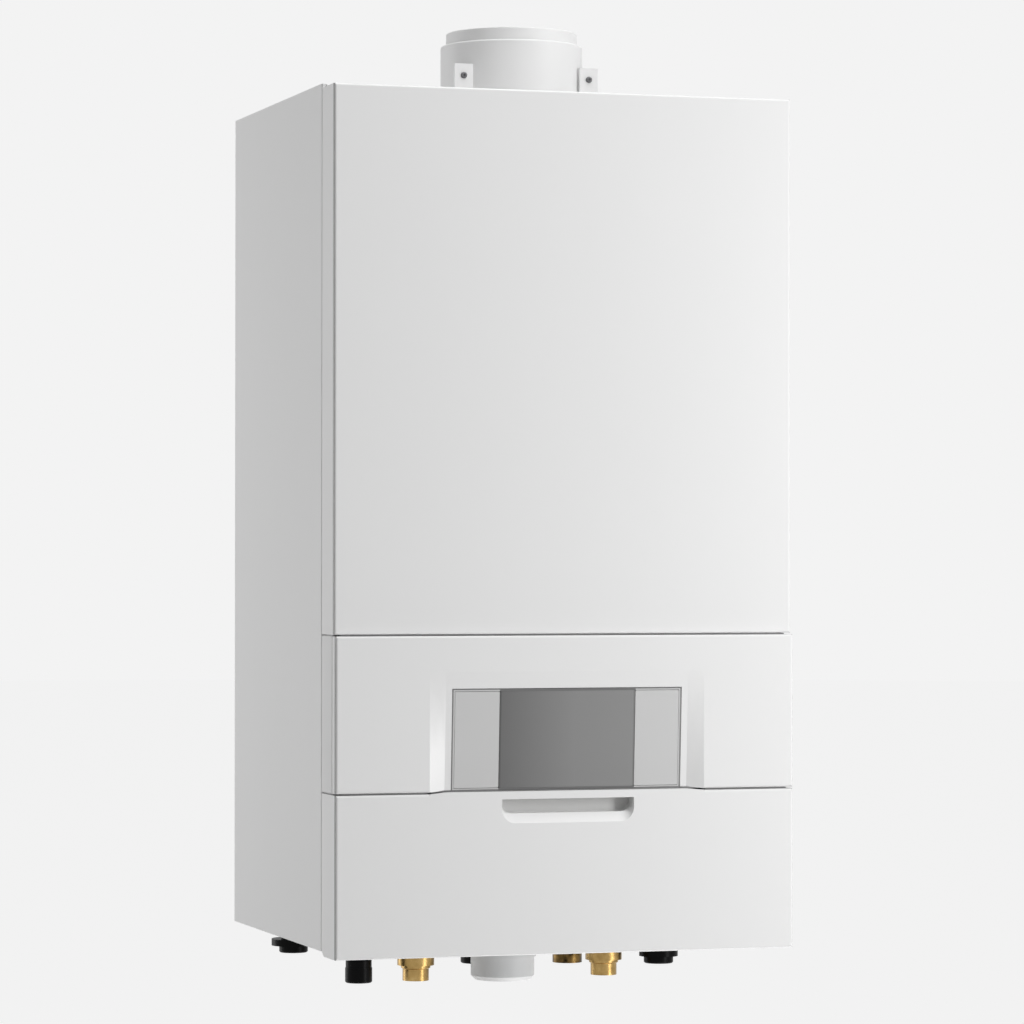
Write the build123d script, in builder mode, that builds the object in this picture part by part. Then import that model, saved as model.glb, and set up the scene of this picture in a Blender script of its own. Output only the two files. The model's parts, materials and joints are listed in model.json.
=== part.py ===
from build123d import *
from math import atan, cos, radians, sin
import os

os.makedirs("parts", exist_ok=True)

# Wall-hung condensing combi boiler, in millimetres.
# X runs across the front (right is +), Y runs from the front (-) to the wall (y = 0), Z is up.
# The origin is on the wall, at the middle of the casing's lower edge.

# Casing
case_w = 440.0
case_h = 790.0
case_d = 378.0  # from the wall to the face of the upper cover
sheet = 1.2
bend_r = 1.5  # outer radius of a fold
wall_gap = 12.0  # room behind the back panel
wall_flange = 15.0
seat_gap = 0.3  # between pieces that pass without touching
run_gap = 0.05  # radial play of a shaft or pin in its bore

# Front: upper cover, fascia and lower flap
front_step = 6.0  # fascia and flap stand this far ahead of the upper cover
front_drop = 4.0  # the whole front hangs this much lower than the casing
return_d = 43.0  # depth of the covers' side returns
edge_gap = 2.0  # between the returns and the side panels
seam = 1.5
overcut = 1.0  # cuts start this far outside
flap_h = 147.8
fascia_h = 141.6
fascia_d = 12.0
shell = 2.2  # moulded wall
edge_r = 2.0  # rounding of the front's outer edges
joggle = 3.2  # the casing's front flange lies this far inside
lip_w = 15.0
lip_back = 16.0  # from the cover's face to the sealing lip
gasket_w = 5.0
stud_r = 3.0
stud_inset = 11.0  # stud's centre, in from the casing's side
stud_low = 32.0  # lower stud, above the cover's lower edge
stud_high = 40.0  # upper stud, below the cover's upper edge
stud_neck_r = 2.2
stud_play = 1.0  # room around the stud in the lip
stud_end = 1.0  # stud's waist and tip, in from the clip's faces
clip_depth = 8.0
clip_r = 5.6
rail_h = 25.0
notch_clear = 12.0  # the casing's front flange ends this far above the hinge

# Hanging: bracket on the wall and hook of the back panel
bracket_w = 360.0
bracket_drop = 60.0  # bracket's lower edge, below the casing's top
bracket_h = 40.0
bracket_sheet = 2.0
bracket_lip = 12.0
bracket_reach = 9.0
bracket_hole_r = 4.5
bracket_hole_x = 150.0
hook_w = 60.0
hook_x = 110.0
hook_play = 1.0
bead_low = 300.0  # lowest stamped bead of the back panel
bead_pitch = 85.0
bead_count = 5
bead_w = 300.0
bead_r = 4.0

# Control chassis and its boards, behind the fascia
box_w = 360.0
box_d = 69.5
box_inset = 3.0
front_plate_t = 2.5
front_plate_inset = 1.0  # leaves a shadow line behind the fascia's rear edge
boss_r = 5.0
boss_inset = 20.0
cover_t = 2.2
post_r = 4.0
post_l = 12.0
post_x = 130.0
post_inset = 25.0
board_t = 1.6
board_side = 20.0  # board's end, beyond the posts
board_inset = 12.0
transformer_w = 45.0
transformer_h = 38.0
transformer_d = 32.0
relay_pitch = 34.0
relay_count = 4
relay_w = 20.0
relay_h = 16.0
capacitor_pitch = 30.0
capacitor_count = 3
capacitor_r = 9.0
capacitor_l = 24.0

# Wedge recess and display
recess_w = 264.0
recess_floor_w = 233.0
recess_depth = 6.0  # at the lower edge
recess_end = 0.05  # at the upper edge
recess_top = 108.7  # above the fascia's lower edge
raised_edge = 1.5  # the flap's upper edge is this much higher under the recess
display_w = 220.0
display_h = 92.4
display_gap = 0.5
display_floor = 3.0  # fascia's thickness around the display
display_depth = 8.0
display_rim = 2.0
window_w = 130.0
window_t = 2.0
window_play = 0.1
window_r = 0.8
frame_sink = 0.5  # frame's lower edge, under the flap's raised edge
pad_gap = 0.4
pad_t = 2.5
pad_travel = 1.0
pad_well = 5.0
pad_r = 1.0
well_clear = 0.1  # between the wells and the window
stem_r = 4.0
stem_end = 0.2  # stem's length behind the frame
display_seat = 4.0  # frame's shoulder beyond its face
bay_clear = 1.0
screen_side = 12.0  # from the window's edge to the screen
screen_end = 14.0
board_post = 2.5
board_post_x = 22.0  # posts, in from the frame's ends
board_post_z = 8.0
key_r = 3.0
key_play = 0.1

# Flap: finger pocket and hinge
pocket_w = 127.0
pocket_h = 13.0
pocket_depth = 16.0
pocket_below_edge = 5.6
pocket_slope_h = 9.0
pocket_slope_d = 6.0
pocket_r = 11.0
pocket_slope_r = 13.0
magnet_r = 6.0
magnet_l = 10.0
magnet_drop = 18.0  # magnet's axis, below the flap's upper edge
hinge_r = 10.0  # corner of the side returns, around the hinge
pin_r = 2.5
lug_t = 5.0
bracket_foot = 7.3  # from the casing's front flange to the hinge bracket
lug_r = 6.5
bracket_t = 2.5
rib_t = 2.0
rib_depth = 8.0
rib_x = 25.0  # first rib, beside the pocket
rib_pitch = 70.0
ribs_each_side = 2
pin_head_r = 4.3
pin_head_t = 1.5
pin_end = 1.0
foot_h = 20.0
foot_clear = 6.0

# Service panel with gauge and switch, behind the flap
panel_low = 72.0
panel_h = 70.0
gauge_x = -120.0
gauge_r = 30.0
dial_r = 25.5
gauge_front = 6.0
gauge_l = 22.0
gauge_shoulder = 4.0
bezel_w = 1.5
dial_depth = 4.0
pointer_l = 19.0
pointer_tail = 5.0
pointer_t = 0.8
pointer_rest = -45.0
hub_r = 3.0
spindle_r = 1.2
lens_t = 1.0
switch_x = 120.0
switch_w = 26.0
switch_h = 38.0
switch_front = 2.0
switch_l = 20.0
switch_shoulder = 2.0
rocker_w = 16.0
rocker_l = 26.0
rocker_tilt = 7.0
rocker_room = 1.5
rocker_face = 6.9  # from the pivot to the valley of its face
rocker_keel = 4.0
pivot_r = 1.5
pivot_depth = 7.0

# Flue adapter, 80/125 mm concentric
flue_y = -210.0
air_tube_r = 62.5
air_tube_t = 2.5
flue_ring_t = 5.0
flue_ring_h = 56.0
air_tube_h = 68.0
tube_seat_h = 20.0
tube_edge_r = 1.0
tube_stop_w = 2.0
tube_stop_rise = 1.0  # the air pipe stops this far above the exhaust socket's rim
spigot_r = 57.5
spigot_t = 3.0
spigot_h = 15.0
flue_pipe_r = 40.25
flue_pipe_t = 2.2
flue_pipe_h = 38.0
flue_web_t = 3.0
flue_stop_r = 37.5
flue_stop_t = 2.0
duct_rise = 8.0  # exhaust duct above the casing, up to the stop
duct_flange_w = 6.0
duct_flange_t = 4.0
flange_r = 76.0
flange_t = 4.0
ear_w = 18.0
ear_t = 5.0
ear_h = 33.0
ear_x = 62.0
ear_front = 48.0  # ear's front face, ahead of the flue's axis
ear_screw_h = 22.0
ear_foot = 12.0
screw_end = 3.0
screw_head_t = 2.4
screw_r = 2.8
screw_head_r = 3.8

# Connections under the casing, and their distance from the wall
plate_z = 10.0
row_y = -208.0
heating_x = 150.0
water_x = 94.0
gas_x = 91.0
gas_y = -106.0
trap_y = -183.0
discharge_x = -173.0
discharge_y = -52.0
drain_x = -2.0
socket_r = 12.5
socket_bore_r = 11.05
socket_h = 15.0
neck_r = 14.0  # neck and flange of the hot and cold water tails
neck_rise = 11.0  # from the open end
neck_slope = 1.0
neck_h = 3.5
collar_r = 17.5
collar_h = 9.0
gas_socket_r = 14.5
gas_socket_h = 9.0
heating_bore_r = 9.55
flow_end_h = 20.0
return_end_h = 12.0
water_low = -42.0
gas_low = -39.5
nut_r = 16.0
nut_h = 16.0
shoulder_r = 12.0
tail_r = 9.6
tail_bore_r = 8.0
tail_top = 45.0
heating_r = 11.0
flow_cap_low = -42.5
return_cap_low = -32.5
cap_r = 12.8
return_cap_r = 14.2
return_cap_flange_r = 18.7
cap_floor = 1.6
cap_edge = 1.0
cap_band_h = 14.0
cap_relief = 0.5
cap_skirt = 19.0  # from the tail's end
return_cap_h = 6.8
return_cap_skirt = 11.0
lock_nut_h = 6.0
lock_nut_r = 15.0
spout_r = 9.0
spout_rise = 20.0
spout_sleeve = 3.0
spout_edge = 1.0
discharge_low = -27.3
discharge_r = 14.0
discharge_flange_r = 21.5
discharge_flange_low = -20.4
discharge_flange_top = -14.0
drain_low = -37.5
drain_r = 16.0
drain_cap_top = -12.0
drain_bend = 16.0
relief_neck_r = 13.0
relief_neck_h = 32.0
relief_cap_r = 17.0
relief_cap_h = 20.0
relief_slope = 2.0
relief_edge = 4.0
trap_r = 30.5
trap_low = -46.0
trap_cup_top = -8.0
trap_top = 95.0
trap_neck_r = 26.0
trap_floor = 6.0
trap_collar_w = 8.0
trap_collar_t = 4.0
trap_shoulder_h = 20.0
trap_mouth_r = 14.0
trap_mouth_h = 8.0
trap_outlet_z = 58.0
trap_outlet_l = 32.0
trap_outlet_wall = 2.0
cup_edge = 4.0
cup_band_rise = 22.0
cup_band_h = 5.0
cup_band_t = 1.6

# Heat exchanger, burner and fan
vessel_r = 170.0
vessel_drop = 230.0  # vessel's axis, below the casing's top
vessel_wall = 2.0
vessel_depth = 56.0
vessel_rim_r = 24.0
vessel_clear = 15.8
stub_x = 125.0
stub_r = 8.0
stub_bore_r = 6.0
stub_rise = 35.0
hx_drop = 360.0  # heat exchanger's foot, below the casing's top
shelf_end_h = 20.0
hx_w = 170.0
hx_h = 250.0
front_room = 93.0  # from the cover to the heat exchanger
fin_count = 9
fin_t = 5.0
fin_reach = 8.0
fin_end = 20.0
fin_margin = 25.0
hx_corner_r = 16.0
port_x = 60.0
port_y = -150.0
chamber_rise = 85.0  # combustion chamber's axis, above the heat exchanger's foot
chamber_r = 52.0
chamber_depth = 150.0
burner_r = 32.0
burner_l = 125.0
burner_wall = 1.5
burner_end_t = 2.0
burner_edge_r = 4.0
door_w = 156.0
door_h = 236.0
door_t = 6.0
door_corner_r = 12.0
door_nut_inset = 8.0
door_nut_r = 6.0
door_nut_t = 5.0
fan_x = -58.0
fan_rise = 180.0
fan_r = 52.0
fan_growth = 22.0
fan_wall = 2.5
fan_depth = 30.0
outlet_w = 26.0
volute_steps = 12
plenum_r = 42.0
plenum_d = 28.0
mixer_r = 13.0
intake_x = 27.0  # from the plenum to the intake's outer side
intake_neck_h = 26.0
intake_h = 46.0
intake_neck = 1.0
intake_wall = 3.0
impeller_r = 46.0
impeller_eye_r = 27.0
blade_count = 20
blade_t = 1.2
blade_lean = 32.0
blade_bow = 0.62
blade_end = 0.5  # blades stop this far inside the wheel's edges
wheel_clear = 1.5
wheel_disc_t = 1.5
shroud_t = 1.2
shroud_w = 4.0
wheel_hub_r = 11.0
wheel_hub_draft = 8.0
wheel_hub_end = 3.0
wheel_hub_step = 1.0
shaft_r = 4.0
motor_r = 36.0
motor_d = 10.0
motor_edge_r = 3.0
motor_end_t = 1.5
shaft_end = 2.0
shaft_in = 4.0
valve_w = 60.0
valve_h = 80.0
valve_corner_r = 6.0
coil_pitch = 36.0
coil_r = 12.0
coil_l = 14.0
gas_run_rise = 14.0  # gas pipe's level run, above the fascia
gas_bend = 24.0

# Water side
copper_22 = 11.0
copper_18 = 9.0
copper_15 = 7.5
pipe_wall = 1.0
hose_r = 6.0
condensate_r = 8.0
hose_bend = 45.0
heating_bend = 25.0
water_bend = 18.0
flow_run_drop = 180.0  # level runs, below the heat exchanger's foot
return_run_drop = 85.0
neck_wall = 2.0
pump_z = 100.0
pump_r = 44.0
pump_back = -172.0
pump_d = 60.0
pump_neck_h = 16.0
pump_neck_in = 20.0
pump_edge_r = 8.0
pump_motor_r = 40.0
pump_motor_d = 60.0
pump_motor_edge_r = 6.0
pump_screw_r = 9.0
pump_screw_d = 4.0
pump_box_w = 52.0
pump_box_in = 8.0
pump_box_l = 42.0
pump_box_rise = 6.0
exchanger_x = -10.0
exchanger_w = 170.0
exchanger_front = -90.0
exchanger_back = -25.0
exchanger_plates = 12
plate_slot = 5.0
shelf_w = 80.0
shelf_drop = 40.0
exchanger_low = 70.0
exchanger_h = 80.0
port_z = 112.0
exchanger_port_x = 65.0
port_run = 50.0
diverter_r = 16.0
diverter_h = 80.0
diverter_reach = 20.0
actuator_w = 44.0
actuator_d = 54.0
actuator_h = 50.0
actuator_edge_r = 4.0
filling_w = 26.0
filling_h = 26.0
filling_edge_r = 3.0
bonnet_r = 8.0
bonnet_l = 14.0
knob_stem_r = 3.0
knob_stem_l = 12.0
knob_r = 17.0
knob_l = 18.0
flute_count = 6
flute_r = 5.0
flute_out = 2.0
knob_edge_r = 1.2

# Worked out from the sizes above
half_w = case_w / 2
face_y = -case_d
proud_y = face_y - front_step
return_y = face_y + return_d
edge_y = return_y + edge_gap
front_low = -front_drop
front_top = case_h - front_drop
flap_top = front_low + flap_h
fascia_low = flap_top + seam
fascia_top = fascia_low + fascia_h
cover_low = fascia_top + seam
inner_x = half_w - sheet
flange_x = half_w - joggle
flange_in = flange_x - sheet
lip_in = flange_in - lip_w
lip_y = face_y + lip_back
lip_rear = lip_y + sheet
flange_top = front_top - joggle
notch_z = front_low + hinge_r + notch_clear
back_y = -(wall_gap + sheet)
cover_inner_y = face_y + sheet
fascia_back = proud_y + fascia_d
bracket_low = case_h - bracket_drop
bracket_x = flange_in - bracket_foot
lug_x = bracket_x - seat_gap - lug_t
stud_x = half_w - stud_inset
stud_zs = (cover_low + stud_low, front_top - stud_high)
axis_y = return_y - hinge_r
axis_z = front_low + hinge_r
plate_top = plate_z + sheet
vessel_z = case_h - vessel_drop
vessel_front = back_y - vessel_depth
vessel_mid = back_y - vessel_depth / 2
hx_back = vessel_front - vessel_clear
hx_front = face_y + front_room
shelf_z = case_h - hx_drop
chamber_z = shelf_z + chamber_rise
fan_z = shelf_z + fan_rise
flow_run_z = shelf_z - flow_run_drop
return_run_z = shelf_z - return_run_drop
flow_port = (-port_x, port_y)
return_port = (port_x, port_y)
tail_places = [(x, row_y) for x in (-heating_x, -water_x, water_x, heating_x)]
tail_places.append((gas_x, gas_y))
magnet_z = flap_top - magnet_drop
magnet_front = lip_y - magnet_l


def finish(piece, name):
    """Label a finished piece and write its file."""
    piece.part.label = name
    export_step(piece.part, f"parts/{name}.step")


def block(x, y, z, mode=Mode.ADD):
    """Rectangular block between pairs of coordinates."""
    with Locations(((x[0] + x[1]) / 2, (y[0] + y[1]) / 2, (z[0] + z[1]) / 2)):
        Box(x[1] - x[0], y[1] - y[0], z[1] - z[0], mode=mode)


def bar_x(y, z, x, radius, mode=Mode.ADD):
    """Round bar along X."""
    with Locations(((x[0] + x[1]) / 2, y, z)):
        Cylinder(radius, x[1] - x[0], rotation=(0, 90, 0), mode=mode)


def bar_y(x, z, y, radius, mode=Mode.ADD):
    """Round bar along Y."""
    with Locations((x, (y[0] + y[1]) / 2, z)):
        Cylinder(radius, y[1] - y[0], rotation=(90, 0, 0), mode=mode)


def bar_z(x, y, z, radius, mode=Mode.ADD):
    """Round bar along Z."""
    with Locations((x, y, (z[0] + z[1]) / 2)):
        Cylinder(radius, z[1] - z[0], mode=mode)


def folded(plane, corners, length, both=False):
    """Sheet folded along the corners of its outer face, with its thickness on the left of the line."""
    with BuildSketch(plane) as section:
        with BuildLine():
            FilletPolyline(*corners, radius=bend_r)
            offset(amount=-sheet, side=Side.LEFT)
        make_face()
    extrude(section.sketch, amount=length, both=both)


def pipe(route, radius, bend, bore=None):
    """Bent pipe of one diameter along a route."""
    with BuildLine() as path:
        FilletPolyline(*route, radius=bend)
    with BuildSketch(Plane(origin=path.line @ 0, z_dir=path.line % 0)) as section:
        Circle(radius)
        if bore:
            Circle(bore, mode=Mode.SUBTRACT)
    sweep(section.sketch, path=path.line)


def turned(x, y, profile, mode=Mode.ADD):
    """Body of revolution about a vertical axis, from (radius, height) corners."""
    with BuildSketch(Plane(origin=(x, y, 0), x_dir=(1, 0, 0), z_dir=(0, -1, 0))) as section:
        with BuildLine():
            Polyline(*profile, close=True)
        make_face()
    revolve(section.sketch, axis=Axis((x, y, 0), (0, 0, 1)), mode=mode)


# ---------------------------------------------------------------- casing

with BuildPart() as left_side_panel:
    folded(
        Plane.XY,
        [
            (-half_w + wall_flange, 0),
            (-half_w, 0),
            (-half_w, edge_y),
            (-flange_x, edge_y),
            (-flange_x, lip_y),
            (-lip_in, lip_y),
        ],
        case_h,
    )
    block((-half_w, 0), (2 * lip_y, edge_y), (-case_h, notch_z), Mode.SUBTRACT)
    flange_end = flange_top - sheet - seat_gap
    block((-half_w, 0), (2 * lip_y, edge_y), (flange_end, 2 * case_h), Mode.SUBTRACT)
    for z in stud_zs:
        bar_y(-stud_x, z, (lip_y - sheet, lip_rear + sheet), stud_r + stud_play, Mode.SUBTRACT)
finish(left_side_panel, "left_side_panel")

with BuildPart() as right_side_panel:
    mirror(left_side_panel.part, about=Plane.YZ)
finish(right_side_panel, "right_side_panel")

with BuildPart() as top_panel:
    folded(
        Plane.YZ,
        [
            (-bend_r, case_h),
            (edge_y, case_h),
            (edge_y, flange_top),
            (lip_y, flange_top),
            (lip_y, flange_top - lip_w),
        ],
        inner_x,
        both=True,
    )
    for side in (-1, 1):
        outer = sorted((side * (flange_in - seat_gap), side * case_w))
        block(outer, (2 * lip_y, edge_y + sheet + seat_gap), (0, 2 * case_h), Mode.SUBTRACT)
        below_lip = sorted((side * lip_in, side * case_w))
        block(below_lip, (2 * lip_y, lip_rear + seat_gap), (0, flange_top - sheet), Mode.SUBTRACT)
    bar_z(0, flue_y, (case_h - 2 * sheet, case_h + sheet), spigot_r + seat_gap, Mode.SUBTRACT)
finish(top_panel, "top_panel")

bracket_top = bracket_low + bracket_h
bracket_lip_top = bracket_top + bracket_lip
with BuildPart() as back_panel:
    folded(
        Plane.YZ,
        [
            (back_y, case_h - sheet),
            (back_y, plate_z - sheet),
            (-sheet, plate_z - sheet),
            (-sheet, 0),
        ],
        inner_x,
        both=True,
    )
    for side in (-1, 1):
        outer = sorted((side * (half_w - wall_flange - seat_gap), side * case_w))
        block(outer, (-wall_gap, wall_gap), (-sheet, case_h), Mode.SUBTRACT)
    hook_y = -bracket_reach + bracket_sheet + seat_gap
    with BuildSketch(Plane.YZ):
        with BuildLine():
            Polyline(
                (-wall_gap, bracket_lip_top),
                (hook_y, bracket_lip_top),
                (hook_y, bracket_top + hook_play),
                (hook_y + sheet, bracket_top + hook_play),
                (hook_y + sheet, bracket_lip_top + sheet),
                (-wall_gap, bracket_lip_top + sheet),
                close=True,
            )
        make_face()
    extrude(amount=hook_x + hook_w / 2, both=True)
    block(
        (-hook_x + hook_w / 2, hook_x - hook_w / 2),
        (-wall_gap, 0),
        (bracket_low, case_h),
        Mode.SUBTRACT,
    )
    for step in range(bead_count):
        z = bead_low + step * bead_pitch
        bar_x(back_y, z, (-bead_w / 2, bead_w / 2), bead_r)
        bar_x(back_y, z, (sheet - bead_w / 2, bead_w / 2 - sheet), bead_r - sheet, Mode.SUBTRACT)
        block(
            (-bead_w / 2, bead_w / 2),
            (back_y - bead_r, back_y),
            (z - bead_r, z + bead_r),
            Mode.SUBTRACT,
        )
    folded(
        Plane.YZ.offset(exchanger_x),
        [
            (back_y, exchanger_low - shelf_drop),
            (back_y, exchanger_low),
            (exchanger_front, exchanger_low),
        ],
        shelf_w / 2,
        both=True,
    )
finish(back_panel, "back_panel")

with BuildPart() as wall_bracket:
    with BuildSketch(Plane.YZ):
        with BuildLine():
            Polyline(
                (0, bracket_low),
                (0, bracket_top),
                (-bracket_reach + bracket_sheet, bracket_top),
                (-bracket_reach + bracket_sheet, bracket_lip_top),
                (-bracket_reach, bracket_lip_top),
                (-bracket_reach, bracket_top - bracket_sheet),
                (-bracket_sheet, bracket_top - bracket_sheet),
                (-bracket_sheet, bracket_low),
                close=True,
            )
        make_face()
    extrude(amount=bracket_w / 2, both=True)
    for side in (-1, 1):
        bar_y(
            side * bracket_hole_x,
            bracket_low + bracket_h / 2,
            (-2 * bracket_sheet, bracket_sheet),
            bracket_hole_r,
            Mode.SUBTRACT,
        )
finish(wall_bracket, "wall_bracket")

with BuildPart() as bottom_plate:
    folded(
        Plane.YZ,
        [
            (back_y, plate_top),
            (edge_y + wall_flange, plate_top),
            (edge_y + wall_flange, plate_z + wall_flange),
        ],
        inner_x,
        both=True,
    )
    for x, y in tail_places:
        bar_z(x, y, (0, plate_z + wall_flange), tail_r + seat_gap, Mode.SUBTRACT)
    bar_z(0, trap_y, (0, plate_z + wall_flange), trap_neck_r + seat_gap, Mode.SUBTRACT)
    for x, y in [(discharge_x, discharge_y), (drain_x, gas_y)]:
        bar_z(x, y, (0, plate_z + wall_flange), spout_r + seat_gap, Mode.SUBTRACT)
finish(bottom_plate, "bottom_plate")

rail_low = cover_low + front_step - front_drop
with BuildPart() as cross_rail:
    folded(
        Plane.YZ,
        [
            (lip_y, rail_low + rail_h),
            (lip_y, rail_low),
            (return_y, rail_low),
        ],
        lip_in,
        both=True,
    )
finish(cross_rail, "cross_rail")

# ---------------------------------------------------------------- upper cover

with BuildPart() as front_cover:
    block((-half_w, half_w), (face_y, return_y), (cover_low, front_top))
    front_face = front_cover.faces().sort_by(Axis.Y)[0]
    fillet(front_face.edges(), edge_r)
    offset(amount=-sheet, openings=front_cover.faces().sort_by(Axis.Y)[-1])
    block(
        (-inner_x, inner_x),
        (lip_y - seat_gap, return_y),
        (cover_low, cover_low + sheet),
        Mode.SUBTRACT,
    )
    for side in (-1, 1):
        for z in stud_zs:
            bar_y(side * stud_x, z, (cover_inner_y, lip_rear + clip_depth - stud_end), stud_neck_r)
            bar_y(side * stud_x, z, (lip_rear + stud_end, lip_rear + clip_depth - stud_end), stud_r)
finish(front_cover, "front_cover")

with BuildPart() as cover_clips:
    for side in (-1, 1):
        for z in stud_zs:
            bar_y(side * stud_x, z, (lip_rear, lip_rear + clip_depth), clip_r)
            bar_y(side * stud_x, z, (lip_y, lip_rear + 2 * clip_depth), stud_r + run_gap, Mode.SUBTRACT)
finish(cover_clips, "cover_clips")

with BuildPart() as cover_gasket:
    gasket_low = rail_low + bend_r
    gasket_high = flange_top - bend_r
    with BuildSketch(Plane.XZ.offset(-lip_y)):
        with Locations((0, (gasket_low + gasket_high) / 2)):
            Rectangle(2 * (lip_in + gasket_w), gasket_high - gasket_low)
            Rectangle(2 * lip_in, gasket_high - gasket_low - 2 * gasket_w, mode=Mode.SUBTRACT)
    extrude(amount=lip_back - sheet - seat_gap)
finish(cover_gasket, "cover_gasket")

# ---------------------------------------------------------------- fascia, display and chassis

tilt = atan(recess_depth / recess_top)
display_low = fascia_low + raised_edge - frame_sink
display_mid = display_low + display_h * cos(tilt) / 2
display_y = proud_y + recess_depth * (fascia_low + recess_top - display_mid) / recess_top
display_plane = Plane(
    origin=(0, display_y, display_mid),
    x_dir=(1, 0, 0),
    z_dir=(0, -cos(tilt), -sin(tilt)),
)
seat_w = display_w + 2 * display_seat
seat_up = display_h / 2 + display_seat

with BuildPart() as fascia:
    block((-half_w, half_w), (proud_y, fascia_back), (fascia_low, fascia_top))
    fillet(fascia.faces().sort_by(Axis.Y)[0].edges(), edge_r)
    offset(amount=-shell, openings=fascia.faces().sort_by(Axis.Y)[-1])
    block(
        (-recess_w / 2 - shell, recess_w / 2 + shell),
        (proud_y + shell / 2, fascia_back),
        (fascia_low, fascia_low + recess_top + shell),
    )
    with BuildSketch(Plane.XY.offset(fascia_low)) as recess_foot:
        with BuildLine():
            Polyline(
                (-recess_w / 2, proud_y),
                (-recess_floor_w / 2, proud_y + recess_depth),
                (recess_floor_w / 2, proud_y + recess_depth),
                (recess_w / 2, proud_y),
                close=True,
            )
        make_face()
    with BuildSketch(Plane.XY.offset(fascia_low + recess_top)) as recess_head:
        with BuildLine():
            Polyline(
                (-recess_w / 2, proud_y),
                (-recess_floor_w / 2, proud_y + recess_end),
                (recess_floor_w / 2, proud_y + recess_end),
                (recess_w / 2, proud_y),
                close=True,
            )
        make_face()
    loft([recess_foot.sketch, recess_head.sketch], mode=Mode.SUBTRACT)
    with BuildSketch(Plane.XZ.offset(-proud_y + overcut)):
        with BuildLine():
            Polyline(
                (-recess_w / 2, fascia_low - overcut),
                (-recess_w / 2, fascia_low),
                (-recess_floor_w / 2, fascia_low + raised_edge),
                (recess_floor_w / 2, fascia_low + raised_edge),
                (recess_w / 2, fascia_low),
                (recess_w / 2, fascia_low - overcut),
                close=True,
            )
        make_face()
    extrude(amount=-2 * fascia_d, mode=Mode.SUBTRACT)
    with BuildSketch(display_plane):
        Rectangle(display_w + 2 * display_gap, display_h + 2 * display_gap)
    extrude(amount=-2 * fascia_d, mode=Mode.SUBTRACT)
    with BuildSketch(display_plane.offset(-display_floor)):
        with Locations((0, seat_up - display_h)):
            Rectangle(seat_w + 2 * display_gap, 2 * display_h)
    extrude(amount=-2 * fascia_d, mode=Mode.SUBTRACT)
finish(fascia, "fascia")

plate_back = fascia_back + front_plate_t
box_back = plate_back + box_d
box_low = fascia_low + box_inset
box_top = fascia_top - box_inset
boss_zs = (fascia_low + boss_inset, fascia_top - boss_inset)
with BuildPart() as control_chassis:
    plate_w = half_w - front_plate_inset
    block((-plate_w, plate_w), (fascia_back, plate_back), (fascia_low, fascia_top))
    for side in (-1, 1):
        wall = sorted((side * (half_w - shell), side * half_w))
        block(wall, (plate_back, return_y), (fascia_low, fascia_top))
        for z in boss_zs:
            bar_y(side * stud_x, z, (plate_back, lip_y), boss_r)
    with BuildSketch(Plane.XZ.offset(-plate_back)):
        with Locations((0, (box_low + box_top) / 2)):
            Rectangle(box_w, box_top - box_low)
            Rectangle(box_w - 2 * shell, box_top - box_low - 2 * shell, mode=Mode.SUBTRACT)
    extrude(amount=-box_d)
    bay_top = display_mid + seat_up + display_seat
    block(
        (-seat_w / 2 - bay_clear, seat_w / 2 + bay_clear),
        (fascia_back, plate_back),
        (fascia_low, bay_top),
        Mode.SUBTRACT,
    )
finish(control_chassis, "control_chassis")

with BuildPart() as chassis_rear_cover:
    block((-box_w / 2, box_w / 2), (box_back, box_back + cover_t), (box_low, box_top))
    for x in (-post_x, post_x):
        for z in (box_low + post_inset, box_top - post_inset):
            bar_y(x, z, (box_back - post_l, box_back), post_r)
finish(chassis_rear_cover, "chassis_rear_cover")

board_y = box_back - post_l
board_half = post_x + board_side
board_low = box_low + board_inset
board_high = box_top - board_inset
part_y = board_y - board_t
with BuildPart() as circuit_board:
    block((-board_half, board_half), (part_y, board_y), (board_low, board_high))
    with BuildSketch(Plane.XZ.offset(-part_y)):
        with Locations((transformer_w - board_half, (board_low + board_high) / 2)):
            Rectangle(transformer_w, transformer_h)
    extrude(amount=transformer_d)
    with BuildSketch(Plane.XZ.offset(-part_y)):
        with Locations((0, board_low + relay_h)):
            with GridLocations(relay_pitch, 1, relay_count, 1):
                Rectangle(relay_w, relay_h)
    extrude(amount=relay_h)
    with BuildSketch(Plane.XZ.offset(-part_y)):
        with Locations((0, board_high - 2 * capacitor_r)):
            with GridLocations(capacitor_pitch, 1, capacitor_count, 1):
                Circle(capacitor_r)
    extrude(amount=capacitor_l)
finish(circuit_board, "circuit_board")

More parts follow.
